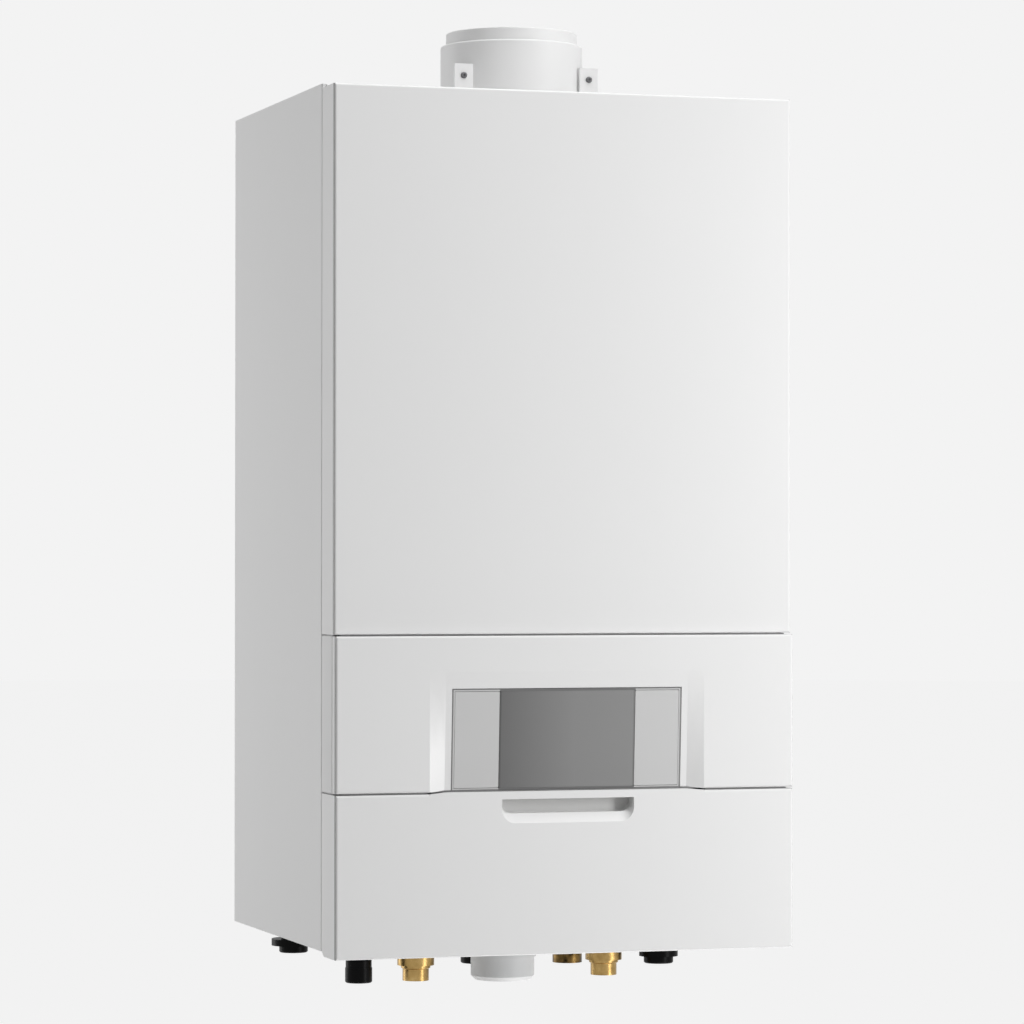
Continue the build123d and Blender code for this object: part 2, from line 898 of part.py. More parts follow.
face_h = display_h - 2 * display_rim
pad_w = (display_w - window_w) / 2 - display_rim - 2 * pad_gap
pad_x = window_w / 2 + pad_gap + pad_w / 2
screen_w = window_w - 2 * screen_side
screen_h = face_h - 2 * screen_end
well_play = pad_gap - well_clear
with BuildPart() as display_frame:
    with BuildSketch(display_plane):
        Rectangle(display_w, display_h)
    extrude(amount=-display_floor)
    with BuildSketch(display_plane.offset(-display_floor)):
        with Locations((0, (seat_up - display_h / 2) / 2)):
            Rectangle(seat_w, display_h / 2 + seat_up)
    extrude(amount=display_floor - display_depth)
    with BuildSketch(display_plane):
        Rectangle(window_w, face_h)
    extrude(amount=-window_t, mode=Mode.SUBTRACT)
    with BuildSketch(display_plane):
        Rectangle(screen_w + 2 * seat_gap, screen_h + 2 * seat_gap)
    extrude(amount=-display_depth, mode=Mode.SUBTRACT)
    with BuildSketch(display_plane):
        with Locations((-pad_x, 0), (pad_x, 0)):
            Rectangle(pad_w + 2 * well_play, face_h)
    extrude(amount=-pad_well, mode=Mode.SUBTRACT)
    with BuildSketch(display_plane):
        with Locations((-pad_x, 0), (pad_x, 0)):
            Circle(stem_r + run_gap)
    extrude(amount=-display_depth, mode=Mode.SUBTRACT)
    with BuildSketch(display_plane.offset(-display_depth)):
        with GridLocations(display_w - 2 * board_post_x, face_h - 2 * board_post_z, 2, 2):
            Circle(pin_r)
    extrude(amount=-board_post)
finish(display_frame, "display_frame")

with BuildPart() as display_window:
    with BuildSketch(display_plane.offset(-window_t)):
        RectangleRounded(window_w - 2 * window_play, face_h - 2 * window_play, window_r)
    extrude(amount=window_t)
finish(display_window, "display_window")


def push_pad(side):
    """Pad of the display with its guide stem, set in the well on one side of the window."""
    with BuildPart() as pad:
        with BuildSketch(display_plane.offset(-pad_t)):
            with Locations((side * pad_x, 0)):
                RectangleRounded(pad_w, face_h - 2 * pad_gap, pad_r)
        extrude(amount=pad_t)
        with BuildSketch(display_plane.offset(-pad_t)):
            with Locations((side * pad_x, 0)):
                Circle(stem_r)
        extrude(amount=pad_t - display_depth - stem_end)
    return pad


left_pad = push_pad(-1)
finish(left_pad, "left_pad")
right_pad = push_pad(1)
finish(right_pad, "right_pad")

with BuildPart() as display_board:
    board_face = display_plane.offset(-display_depth - board_post)
    with BuildSketch(board_face):
        Rectangle(display_w - board_post_x, face_h - board_post_z)
    extrude(amount=-board_t)
    with BuildSketch(board_face):
        Rectangle(screen_w, screen_h)
    extrude(amount=display_depth + board_post - window_t - seat_gap)
    with BuildSketch(board_face):
        with Locations((-pad_x, 0), (pad_x, 0)):
            Circle(key_r)
    extrude(amount=board_post - stem_end - pad_travel - key_play)
finish(display_board, "display_board")

# ---------------------------------------------------------------- lower flap and its hinge


def pocket_outline(depth, low, corner_r):
    """Outline of the finger pocket at a depth behind the flap's face, its lower corners rounded."""
    with BuildSketch(Plane.XZ.offset(-proud_y - depth)) as outline:
        with Locations((0, (low + pocket_top) / 2)):
            Rectangle(pocket_w, pocket_top - low)
        fillet(outline.vertices().group_by(Axis.Y)[0], corner_r)
    return outline.sketch


def hinge_eye(x, low, high, radius=None):
    """Plate with a round end about the flap's hinge axis, between two places along X."""
    with BuildSketch(Plane.YZ.offset(x[0])) as eye:
        with Locations((axis_y, axis_z)):
            Circle(lug_r)
        with Locations((axis_y, (low + high) / 2)):
            Rectangle(2 * lug_r, high - low)
    extrude(eye.sketch, amount=x[1] - x[0])
    bar_x(axis_y, axis_z, x, radius or pin_r + run_gap, Mode.SUBTRACT)


raised_top = flap_top + raised_edge
pocket_top = flap_top - pocket_below_edge
pocket_low = pocket_top - pocket_h
with BuildPart() as lower_flap:
    block((-half_w, half_w), (proud_y, return_y), (front_low, flap_top))
    fillet(lower_flap.faces().sort_by(Axis.Y)[0].edges(), edge_r)
    offset(amount=-shell, openings=lower_flap.faces().sort_by(Axis.Y)[-1])
    flap_in = half_w - shell
    block(
        (-flap_in, flap_in),
        (fascia_back, return_y),
        (flap_top - shell, flap_top),
        Mode.SUBTRACT,
    )
    block((-flap_in, flap_in), (axis_y, return_y), (front_low, front_low + shell), Mode.SUBTRACT)
    low_corners = lower_flap.edges().filter_by(Axis.X).group_by(Axis.Y)[-1].group_by(Axis.Z)[0]
    fillet(low_corners, hinge_r)
    with BuildSketch(Plane.XZ.offset(-proud_y)):
        with BuildLine():
            Polyline(
                (-recess_w / 2, flap_top - edge_r),
                (-recess_w / 2, flap_top),
                (-recess_floor_w / 2, raised_top),
                (recess_floor_w / 2, raised_top),
                (recess_w / 2, flap_top),
                (recess_w / 2, flap_top - edge_r),
                close=True,
            )
        make_face()
    extrude(amount=-recess_depth)
    block(
        (-pocket_w / 2 - shell, pocket_w / 2 + shell),
        (proud_y + shell / 2, proud_y + pocket_depth + shell),
        (pocket_low - shell, pocket_top + shell),
    )
    block(
        (-pocket_w / 2 - shell, pocket_w / 2 + shell),
        (proud_y + shell / 2, proud_y + pocket_slope_d + shell),
        (pocket_low - pocket_slope_h - shell, pocket_top),
    )
    slope = pocket_outline(0, pocket_low - pocket_slope_h, pocket_slope_r)
    mouth = pocket_outline(pocket_slope_d, pocket_low, pocket_r)
    loft([slope, mouth], ruled=True, mode=Mode.SUBTRACT)
    extrude(mouth, amount=-(pocket_depth - pocket_slope_d), mode=Mode.SUBTRACT)
    inner_face = proud_y + shell
    for side in (-1, 1):
        hinge_eye(sorted((side * lug_x, side * (lug_x + lug_t))), front_low + shell / 2, axis_z)
        bar_y(side * stud_x, magnet_z, (inner_face, magnet_front - seat_gap), magnet_r)
        for n in range(ribs_each_side):
            x = side * (pocket_w / 2 + rib_x + n * rib_pitch)
            block(
                (x - rib_t / 2, x + rib_t / 2),
                (inner_face, inner_face + rib_depth),
                (front_low + shell, magnet_z - 2 * magnet_r),
            )
finish(lower_flap, "lower_flap")

foot_low = notch_z + foot_clear
with BuildPart() as hinge_brackets:
    for side in (-1, 1):
        plate = sorted((side * bracket_x, side * (bracket_x + bracket_t)))
        hinge_eye(plate, axis_z, foot_low + foot_h)
        block(
            sorted((side * bracket_x, side * flange_in)),
            (axis_y - lug_r, axis_y + lug_r),
            (foot_low, foot_low + foot_h),
        )
finish(hinge_brackets, "hinge_brackets")

with BuildPart() as hinge_pins:
    for side in (-1, 1):
        outer = bracket_x + bracket_t
        bar_x(axis_y, axis_z, sorted((side * (lug_x - pin_end), side * outer)), pin_r)
        bar_x(axis_y, axis_z, sorted((side * outer, side * (outer + pin_head_t))), pin_head_r)
finish(hinge_pins, "hinge_pins")

with BuildPart() as catch_magnets:
    for side in (-1, 1):
        bar_y(side * stud_x, magnet_z, (magnet_front, lip_y), magnet_r)
finish(catch_magnets, "catch_magnets")

# ---------------------------------------------------------------- service panel behind the flap

panel_w = 2 * (flange_in - seat_gap)
control_z = panel_low + panel_h / 2
barrel_r = gauge_r - gauge_shoulder
barrel_w = switch_w - 2 * switch_shoulder
barrel_h = switch_h - 2 * switch_shoulder
with BuildPart() as service_panel:
    folded(
        Plane.YZ,
        [
            (lip_rear, panel_low + panel_h),
            (lip_rear, panel_low),
            (lip_rear + wall_flange, panel_low),
        ],
        panel_w / 2,
        both=True,
    )
    bar_y(
        gauge_x, control_z, (lip_y, lip_rear + 2 * sheet), barrel_r + seat_gap, Mode.SUBTRACT
    )
    block(
        (switch_x - barrel_w / 2 - seat_gap, switch_x + barrel_w / 2 + seat_gap),
        (lip_y, lip_rear + 2 * sheet),
        (control_z - barrel_h / 2 - seat_gap, control_z + barrel_h / 2 + seat_gap),
        Mode.SUBTRACT,
    )
finish(service_panel, "service_panel")

gauge_face = lip_rear - gauge_front
dial_y = gauge_face + dial_depth
rim_r = dial_r + bezel_w
with BuildPart() as pressure_gauge:
    bar_y(gauge_x, control_z, (gauge_face, lip_rear), gauge_r)
    fillet(pressure_gauge.edges().group_by(Axis.Y)[0], bezel_w)
    bar_y(gauge_x, control_z, (lip_rear, lip_rear + gauge_l), barrel_r)
    bar_y(gauge_x, control_z, (gauge_face, gauge_face + lens_t), rim_r, Mode.SUBTRACT)
    bar_y(gauge_x, control_z, (gauge_face, dial_y), dial_r, Mode.SUBTRACT)
    bar_y(gauge_x, control_z, (dial_y, dial_y + dial_depth), spindle_r + run_gap, Mode.SUBTRACT)
finish(pressure_gauge, "pressure_gauge")

pointer_y = dial_y - seat_gap
with BuildPart() as gauge_pointer:
    bar_y(gauge_x, control_z, (pointer_y - 2 * pointer_t, dial_y + 0.9 * dial_depth), spindle_r)
    with BuildSketch(Plane.XZ.offset(-pointer_y)):
        with Locations((gauge_x, control_z)):
            Circle(hub_r)
            Polygon(
                (-spindle_r, pointer_tail),
                (spindle_r, pointer_tail),
                (spindle_r / 4, -pointer_l),
                (-spindle_r / 4, -pointer_l),
                rotation=pointer_rest,
                align=None,
            )
    extrude(amount=pointer_t)
finish(gauge_pointer, "gauge_pointer")

with BuildPart() as gauge_lens:
    bar_y(gauge_x, control_z, (gauge_face, gauge_face + lens_t), rim_r - seat_gap / 2)
finish(gauge_lens, "gauge_lens")

switch_face = lip_rear - switch_front
pivot_y = switch_face + pivot_depth
barrel_x = (switch_x - barrel_w / 2, switch_x + barrel_w / 2)
with BuildPart() as switch_body:
    block(
        (switch_x - switch_w / 2, switch_x + switch_w / 2),
        (switch_face, lip_rear),
        (control_z - switch_h / 2, control_z + switch_h / 2),
    )
    fillet(switch_body.edges().filter_by(Axis.Y), switch_shoulder)
    block(
        barrel_x,
        (lip_rear, lip_rear + switch_l),
        (control_z - barrel_h / 2, control_z + barrel_h / 2),
    )
    block(
        (switch_x - rocker_w / 2 - seat_gap, switch_x + rocker_w / 2 + seat_gap),
        (switch_face, pivot_y + rocker_keel + 2 * rocker_room),
        (control_z - rocker_l / 2 - rocker_room, control_z + rocker_l / 2 + rocker_room),
        Mode.SUBTRACT,
    )
    bar_x(pivot_y, control_z, barrel_x, pivot_r + run_gap, Mode.SUBTRACT)
finish(switch_body, "switch_body")

lean = radians(rocker_tilt)
rocker_plane = Plane(
    origin=(switch_x - rocker_w / 2, pivot_y, control_z),
    x_dir=(0, -sin(lean), cos(lean)),
    z_dir=(1, 0, 0),
)
with BuildPart() as switch_rocker:
    with BuildSketch(rocker_plane):
        with BuildLine():
            half_l = rocker_l / 2
            tip = rocker_face + half_l * sin(lean)
            Polyline(
                (-half_l, tip),
                (0, rocker_face),
                (half_l, tip),
                (half_l - switch_shoulder, 0),
                (0, -rocker_keel),
                (-half_l + switch_shoulder, 0),
                close=True,
            )
        make_face()
    extrude(amount=rocker_w)
    bar_x(pivot_y, control_z, barrel_x, pivot_r)
finish(switch_rocker, "switch_rocker")

# ---------------------------------------------------------------- flue adapter

ring_in = air_tube_r + seat_gap
ring_out = ring_in + flue_ring_t
ring_top = case_h + flue_ring_h
spigot_in = spigot_r - spigot_t
ear_y = flue_y - ear_front
ear_screw_z = case_h + ear_screw_h
duct_top = case_h + duct_rise
stop_z = duct_top + seat_gap
with BuildPart() as flue_adapter:
    turned(
        0,
        flue_y,
        [
            (spigot_in, case_h - spigot_h),
            (spigot_r, case_h - spigot_h),
            (spigot_r, case_h),
            (flange_r, case_h),
            (flange_r, case_h + flange_t),
            (ring_out, case_h + flange_t),
            (ring_out, ring_top),
            (ring_in, ring_top),
            (ring_in, case_h + tube_seat_h),
            (spigot_in, case_h + tube_seat_h),
        ],
    )
    ring_edges = flue_adapter.edges().filter_by(GeomType.CIRCLE).group_by(Axis.Z)[-1]
    fillet(ring_edges.sort_by(SortBy.RADIUS)[-1], edge_r)
    turned(
        0,
        flue_y,
        [
            (flue_pipe_r, case_h - spigot_h),
            (flue_pipe_r + flue_pipe_t, case_h - spigot_h),
            (flue_pipe_r + flue_pipe_t, case_h + flue_pipe_h),
            (flue_pipe_r, case_h + flue_pipe_h),
            (flue_pipe_r, stop_z + flue_stop_t),
            (flue_stop_r, stop_z + flue_stop_t),
            (flue_stop_r, stop_z),
            (flue_pipe_r, stop_z),
        ],
    )
    with Locations((0, flue_y, case_h)):
        with PolarLocations((flue_pipe_r + spigot_r) / 2, 3, start_angle=90):
            Box(spigot_in - flue_pipe_r + sheet, flue_web_t, spigot_h)
    for side in (-1, 1):
        ear = (side * ear_x - ear_w / 2, side * ear_x + ear_w / 2)
        block(ear, (ear_y, ear_y + ear_t), (case_h, case_h + ear_h))
        block(ear, (ear_y, flue_y - ear_front / 2), (case_h, case_h + flange_t))
        inner = side * (ear_x - ear_w / 2)
        web = sorted((inner, inner + side * rib_t))
        block(web, (ear_y, ear_y + ear_foot), (case_h, case_h + ear_screw_h))
        bar_y(side * ear_x, ear_screw_z, (ear_y, ear_y + ear_t), screw_r + seat_gap, Mode.SUBTRACT)
finish(flue_adapter, "flue_adapter")

tube_in = air_tube_r - air_tube_t
tube_stop_z = case_h + flue_pipe_h + tube_stop_rise
with BuildPart() as air_pipe_stub:
    turned(
        0,
        flue_y,
        [
            (tube_in - tube_stop_w, case_h + tube_seat_h),
            (air_tube_r, case_h + tube_seat_h),
            (air_tube_r, case_h + air_tube_h),
            (tube_in, case_h + air_tube_h),
            (tube_in, tube_stop_z),
            (tube_in - tube_stop_w, tube_stop_z),
        ],
    )
    fillet(air_pipe_stub.edges().group_by(Axis.Z)[-1], tube_edge_r)
finish(air_pipe_stub, "air_pipe_stub")

with BuildPart() as adapter_screws:
    for side in (-1, 1):
        bar_y(side * ear_x, ear_screw_z, (ear_y, ear_y + ear_t + screw_end), screw_r)
        bar_y(side * ear_x, ear_screw_z, (ear_y - screw_head_t, ear_y), screw_head_r)
finish(adapter_screws, "adapter_screws")

# ---------------------------------------------------------------- heat exchanger and burner

hx_top = shelf_z + hx_h
with BuildPart() as hx_shelf:
    folded(
        Plane.XZ.offset(-hx_back),
        [
            (inner_x, shelf_z - shelf_end_h),
            (inner_x, shelf_z),
            (-inner_x, shelf_z),
            (-inner_x, shelf_z - shelf_end_h),
        ],
        hx_back - hx_front,
    )
    for x, y in (flow_port, return_port):
        bar_z(x, y, (shelf_z - 2 * sheet, shelf_z + sheet), copper_22 + seat_gap, Mode.SUBTRACT)
    bar_z(0, trap_y, (shelf_z - 2 * sheet, shelf_z + sheet), condensate_r + seat_gap, Mode.SUBTRACT)
finish(hx_shelf, "hx_shelf")

with BuildPart() as heat_exchanger:
    with BuildSketch(Plane.XZ.offset(-hx_back)):
        with Locations((0, shelf_z + hx_h / 2)):
            RectangleRounded(hx_w, hx_h, hx_corner_r)
    extrude(amount=hx_back - hx_front)
    with BuildSketch(Plane.XZ.offset(-hx_back + fin_end)):
        with Locations((0, shelf_z + hx_h / 2)):
            with GridLocations(0, (hx_h - 2 * fin_margin) / (fin_count - 1), 1, fin_count):
                Rectangle(hx_w + 2 * fin_reach, fin_t)
    extrude(amount=hx_back - hx_front - 2 * fin_end)
    bar_y(0, chamber_z, (hx_front, hx_front + chamber_depth), chamber_r, Mode.SUBTRACT)
finish(heat_exchanger, "heat_exchanger")

with BuildPart() as exhaust_duct:
    duct_r = flue_pipe_r - seat_gap
    turned(
        0,
        flue_y,
        [
            (duct_r - pipe_wall, hx_top),
            (duct_r + duct_flange_w, hx_top),
            (duct_r + duct_flange_w, hx_top + duct_flange_t),
            (duct_r, hx_top + duct_flange_t),
            (duct_r, duct_top),
            (duct_r - pipe_wall, duct_top),
        ],
    )
finish(exhaust_duct, "exhaust_duct")

door_face = hx_front - door_t
outlet_x = fan_x + fan_r + fan_growth - outlet_w / 2
with BuildPart() as burner_door:
    with BuildSketch(Plane.XZ.offset(-hx_front)):
        with Locations((0, shelf_z + hx_h / 2)):
            RectangleRounded(door_w, door_h, door_corner_r)
    extrude(amount=door_t)
    with BuildSketch(Plane.XZ.offset(-hx_front)):
        with Locations((outlet_x, chamber_z)):
            Circle(outlet_w / 2 - fan_wall)
    extrude(amount=door_t, mode=Mode.SUBTRACT)
    with BuildSketch(Plane.XZ.offset(-door_face)):
        with Locations((0, shelf_z + hx_h / 2)):
            with GridLocations(door_w - 2 * door_nut_inset, door_h - 2 * door_nut_inset, 2, 2):
                RegularPolygon(door_nut_r, 6)
    extrude(amount=door_nut_t)
finish(burner_door, "burner_door")

with BuildPart() as burner:
    bar_y(0, chamber_z, (hx_front, hx_front + burner_l), burner_r)
    fillet(burner.edges().group_by(Axis.Y)[-1], burner_edge_r)
    burner_end = hx_front + burner_l - burner_end_t
    bar_y(0, chamber_z, (hx_front, burner_end), burner_r - burner_wall, Mode.SUBTRACT)
finish(burner, "burner")

# ---------------------------------------------------------------- fan: spiral housing and bladed wheel

fan_back = door_face - plenum_d
fan_front = fan_back - fan_depth
outlet_l = fan_z - chamber_z + outlet_w / 2


def volute(y, inset):
    """Spiral outline of the fan at a depth, running clockwise into its outlet, drawn in by a wall."""
    front = Plane(origin=(fan_x, y, fan_z), x_dir=(1, 0, 0), z_dir=(0, -1, 0))
    steps = volute_steps
    radii = [fan_r + fan_growth * n / steps - inset for n in range(steps + 1)]
    turns = [radians(-360.0 * n / steps) for n in range(steps + 1)]
    with BuildSketch(front) as outline:
        with BuildLine():
            spiral = Spline(*[(r * cos(t), r * sin(t)) for r, t in zip(radii, turns)])
            Line(spiral @ 1, spiral @ 0)
        make_face()
        with Locations((outlet_x - fan_x, -(outlet_l - inset) / 2)):
            Rectangle(outlet_w - 2 * inset, outlet_l - inset)
    return outline.sketch


with BuildPart() as fan_housing:
    extrude(volute(fan_back, 0), amount=fan_depth)
    block(
        (outlet_x - outlet_w / 2, outlet_x + outlet_w / 2),
        (fan_back, door_face),
        (chamber_z - outlet_w / 2, chamber_z + outlet_w / 2),
    )
    extrude(
        volute(fan_back - fan_wall, fan_wall),
        amount=fan_depth - 2 * fan_wall,
        mode=Mode.SUBTRACT,
    )
    inlet_r = impeller_eye_r - sheet
    bar_y(fan_x, fan_z, (fan_back - fan_wall, fan_back), inlet_r, Mode.SUBTRACT)
    bar_y(fan_x, fan_z, (fan_front, fan_front + fan_wall), shaft_r + run_gap, Mode.SUBTRACT)
    bar_y(
        outlet_x,
        chamber_z,
        (fan_back - fan_wall, door_face),
        outlet_w / 2 - fan_wall,
        Mode.SUBTRACT,
    )
finish(fan_housing, "fan_housing")

wheel_front = fan_front + fan_wall + wheel_clear
wheel_back = fan_back - fan_wall - wheel_clear
with BuildPart() as fan_impeller:
    wheel_plane = Plane(origin=(fan_x, wheel_back, fan_z), x_dir=(1, 0, 0), z_dir=(0, -1, 0))
    wheel_d = wheel_back - wheel_front
    with BuildSketch(wheel_plane.offset(wheel_d - wheel_disc_t)):
        Circle(impeller_r)
    extrude(amount=wheel_disc_t)
    with BuildSketch(wheel_plane):
        Circle(impeller_r)
        Circle(impeller_eye_r + shroud_w, mode=Mode.SUBTRACT)
    extrude(amount=shroud_t)
    with BuildSketch(Plane.XY, mode=Mode.PRIVATE) as blade:
        with BuildLine():
            lean_back = radians(blade_lean)
            foot = impeller_eye_r + blade_end
            middle = (foot + impeller_r) / 2
            tip_r = impeller_r - blade_end
            bow = blade_bow * lean_back
            ThreePointArc(
                (foot, 0),
                (middle * cos(bow), middle * sin(bow)),
                (tip_r * cos(lean_back), tip_r * sin(lean_back)),
            )
        trace(line_width=blade_t)
    with BuildSketch(wheel_plane.offset(shroud_t / 2)):
        with PolarLocations(0, blade_count):
            add(blade.sketch)
    extrude(amount=wheel_d - shroud_t)
    bar_y(fan_x, fan_z, (fan_front - motor_d + shaft_end, wheel_back - shaft_in), shaft_r)
    with BuildSketch(wheel_plane.offset(wheel_hub_end)):
        Circle(wheel_hub_r)
    extrude(amount=wheel_d - wheel_hub_end - wheel_hub_step, taper=-wheel_hub_draft)
finish(fan_impeller, "fan_impeller")

with BuildPart() as fan_motor:
    bar_y(fan_x, fan_z, (fan_front - motor_d, fan_front), motor_r)
    fillet(fan_motor.edges().group_by(Axis.Y)[0], motor_edge_r)
    bore_end = fan_front - motor_d + motor_end_t
    bar_y(fan_x, fan_z, (bore_end, fan_front), shaft_r + run_gap, Mode.SUBTRACT)
finish(fan_motor, "fan_motor")

mixer_y = door_face - plenum_d / 2
mixer_end = fan_x - plenum_r - intake_x
intake_low = fan_z - intake_h
with BuildPart() as gas_air_mixer:
    bar_y(fan_x, fan_z, (fan_back, door_face), plenum_r)
    bar_x(mixer_y, fan_z, (mixer_end, fan_x), mixer_r)
    turned(
        mixer_end + mixer_r,
        mixer_y,
        [
            (0, fan_z),
            (mixer_r - intake_neck, fan_z),
            (mixer_r - intake_neck, fan_z - intake_neck_h),
            (mixer_r, intake_low),
            (0, intake_low),
        ],
    )
    bar_z(
        mixer_end + mixer_r, mixer_y, (intake_low, fan_z), mixer_r - intake_wall, Mode.SUBTRACT
    )
    bar_y(fan_x, fan_z, (fan_back, door_face - fan_wall), plenum_r - fan_wall, Mode.SUBTRACT)
finish(gas_air_mixer, "gas_air_mixer")

gas_valve_x = mixer_end - valve_w / 2
valve_low = fan_z - valve_h / 2
with BuildPart() as gas_valve:
    with BuildSketch(Plane.XY.offset(valve_low)):
        with Locations((gas_valve_x, mixer_y)):
            RectangleRounded(valve_w, valve_w, valve_corner_r)
    extrude(amount=valve_h)
    coil_end = mixer_y - valve_w / 2 - coil_l
    for z in (fan_z - coil_pitch / 2, fan_z + coil_pitch / 2):
        bar_y(gas_valve_x, z, (coil_end, mixer_y), coil_r)
finish(gas_valve, "gas_valve")

gas_run_z = fascia_top + gas_run_rise
with BuildPart() as gas_pipe:
    pipe(
        [
            (gas_x, gas_y, tail_top),
            (gas_x, gas_y, gas_run_z),
            (gas_x, mixer_y, gas_run_z),
            (gas_valve_x, mixer_y, gas_run_z),
            (gas_valve_x, mixer_y, valve_low),
        ],
        copper_18,
        gas_bend,
    )
finish(gas_pipe, "gas_pipe")

# ---------------------------------------------------------------- water side

stub_low = vessel_z - vessel_r + stub_rise
with BuildPart() as expansion_vessel:
    with BuildSketch(Plane.YZ) as outside:
        with Locations((vessel_mid, vessel_z + vessel_r / 2)):
            Rectangle(vessel_depth, vessel_r)
        fillet(outside.vertices().group_by(Axis.Y)[-1], vessel_rim_r)
    revolve(outside.sketch, axis=Axis((0, 0, vessel_z), (0, 1, 0)))
    bar_z(stub_x, vessel_mid, (stub_low, vessel_z), stub_r)
    with BuildSketch(Plane.YZ) as inside:
        with Locations((vessel_mid, vessel_z + (vessel_r - vessel_wall) / 2)):
            Rectangle(vessel_depth - 2 * vessel_wall, vessel_r - vessel_wall)
        fillet(inside.vertices().group_by(Axis.Y)[-1], vessel_rim_r - vessel_wall)
    revolve(inside.sketch, axis=Axis((0, 0, vessel_z), (0, 1, 0)), mode=Mode.SUBTRACT)
    bar_z(stub_x, vessel_mid, (stub_low, vessel_z), stub_bore_r, Mode.SUBTRACT)
finish(expansion_vessel, "expansion_vessel")

with BuildPart() as hoses:
    pipe(
        [
            (stub_x, vessel_mid, stub_low),
            (stub_x, vessel_mid, pump_z),
            (stub_x, pump_back, pump_z),
        ],
        hose_r,
        hose_bend,
    )
    bar_z(0, trap_y, (trap_top, shelf_z), condensate_r)
finish(hoses, "hoses")

pump_front = pump_back - pump_d
pump_neck_y = pump_back - pump_neck_in
with BuildPart() as pump_body:
    bar_y(heating_x, pump_z, (pump_front, pump_back), pump_r)
    fillet(pump_body.edges().group_by(Axis.Y)[-1], pump_edge_r)
    bar_z(heating_x, row_y, (tail_top, pump_z), copper_22 + neck_wall)
    bar_z(heating_x, pump_neck_y, (pump_z, pump_z + pump_r + pump_neck_h), copper_22 + neck_wall)
finish(pump_body, "pump_body")

with BuildPart() as pump_motor:
    motor_end = pump_front - pump_motor_d
    bar_y(heating_x, pump_z, (motor_end, pump_front), pump_motor_r)
    fillet(pump_motor.edges().group_by(Axis.Y)[0], pump_motor_edge_r)
    bar_y(heating_x, pump_z, (motor_end, motor_end + pump_screw_d), pump_screw_r, Mode.SUBTRACT)
    block(
        (heating_x - pump_box_w / 2, heating_x + pump_box_w / 2),
        (pump_front - pump_box_in - pump_box_l, pump_front - pump_box_in),
        (pump_z, pump_z + pump_motor_r + pump_box_rise),
    )
finish(pump_motor, "pump_motor")

with BuildPart() as plate_heat_exchanger:
    x_range = (exchanger_x - exchanger_w / 2, exchanger_x + exchanger_w / 2)
    exchanger_top = exchanger_low + exchanger_h
    exchanger_mid = (exchanger_front + exchanger_back) / 2
    block(x_range, (exchanger_front, exchanger_back), (exchanger_low, exchanger_top))
    pitch = (exchanger_back - exchanger_front - plate_slot) / exchanger_plates
    with Locations((exchanger_x, exchanger_mid, exchanger_top)):
        with GridLocations(0, pitch, 1, exchanger_plates):
            Box(exchanger_w + seam, pitch / 2, plate_slot, mode=Mode.SUBTRACT)
finish(plate_heat_exchanger, "plate_heat_exchanger")

diverter_top = tail_top + diverter_h
diverter_back = row_y + diverter_reach
with BuildPart() as diverter_valve:
    bar_z(-heating_x, row_y, (tail_top, diverter_top), diverter_r)
    bar_y(-heating_x, pump_z, (row_y, diverter_back), copper_22 + neck_wall)
    block(
        (-heating_x - actuator_w / 2, -heating_x + actuator_w / 2),
        (row_y - actuator_d / 2, row_y + actuator_d / 2),
        (diverter_top, diverter_top + actuator_h),
    )
    fillet(diverter_valve.faces().sort_by(Axis.Z)[-1].edges(), actuator_edge_r)
finish(diverter_valve, "diverter_valve")

run_y = flow_port[1]
with BuildPart() as heating_pipes:
    pipe(
        [
            (flow_port[0], run_y, shelf_z),
            (flow_port[0], run_y, flow_run_z),
            (-heating_x, run_y, flow_run_z),
            (-heating_x, run_y, pump_z),
            (-heating_x, diverter_back, pump_z),
        ],
        copper_22,
        heating_bend,
    )
    pipe(
        [
            (heating_x, pump_neck_y, pump_z + pump_r + pump_neck_h),
            (heating_x, pump_neck_y, return_run_z),
            (return_port[0], return_port[1], return_run_z),
            (return_port[0], return_port[1], shelf_z),
        ],
        copper_22,
        heating_bend,
    )
finish(heating_pipes, "heating_pipes")

valve_top = tail_top + filling_h
port_end = exchanger_front - port_run
with BuildPart() as water_pipes:
    pipe(
        [
            (exchanger_x - exchanger_port_x, exchanger_front, port_z),
            (exchanger_x - exchanger_port_x, port_end, port_z),
            (-water_x, row_y, port_z),
            (-water_x, row_y, tail_top),
        ],
        copper_15,
        water_bend,
    )
    pipe(
        [
            (exchanger_x + exchanger_port_x, exchanger_front, port_z),
            (exchanger_x + exchanger_port_x, port_end, port_z),
            (water_x, row_y, port_z),
            (water_x, row_y, valve_top),
        ],
        copper_15,
        water_bend,
    )
finish(water_pipes, "water_pipes")

knob_z = (tail_top + valve_top) / 2
half_valve = filling_w / 2
valve_front = row_y - half_valve
knob_back = valve_front - bonnet_l
with BuildPart() as filling_valve:
    block(
        (water_x - half_valve, water_x + half_valve),
        (valve_front, row_y + half_valve),
        (tail_top, valve_top),
    )
    fillet(filling_valve.edges().filter_by(Axis.Z), filling_edge_r)
    bar_y(water_x, knob_z, (knob_back, valve_front), bonnet_r)
    bar_y(water_x, knob_z, (knob_back, valve_front), knob_stem_r + run_gap, Mode.SUBTRACT)
finish(filling_valve, "filling_valve")

with BuildPart() as filling_knob:
    with BuildSketch(Plane.XZ.offset(seat_gap - knob_back)):
        with Locations((water_x, knob_z)):
            Circle(knob_r)
            with PolarLocations(knob_r + flute_out, flute_count):
                Circle(flute_r, mode=Mode.SUBTRACT)
    extrude(amount=knob_l)
    fillet(filling_knob.faces().sort_by(Axis.Y)[0].edges(), knob_edge_r)
    bar_y(water_x, knob_z, (knob_back - seat_gap, knob_back + knob_stem_l), knob_stem_r)
finish(filling_knob, "filling_knob")

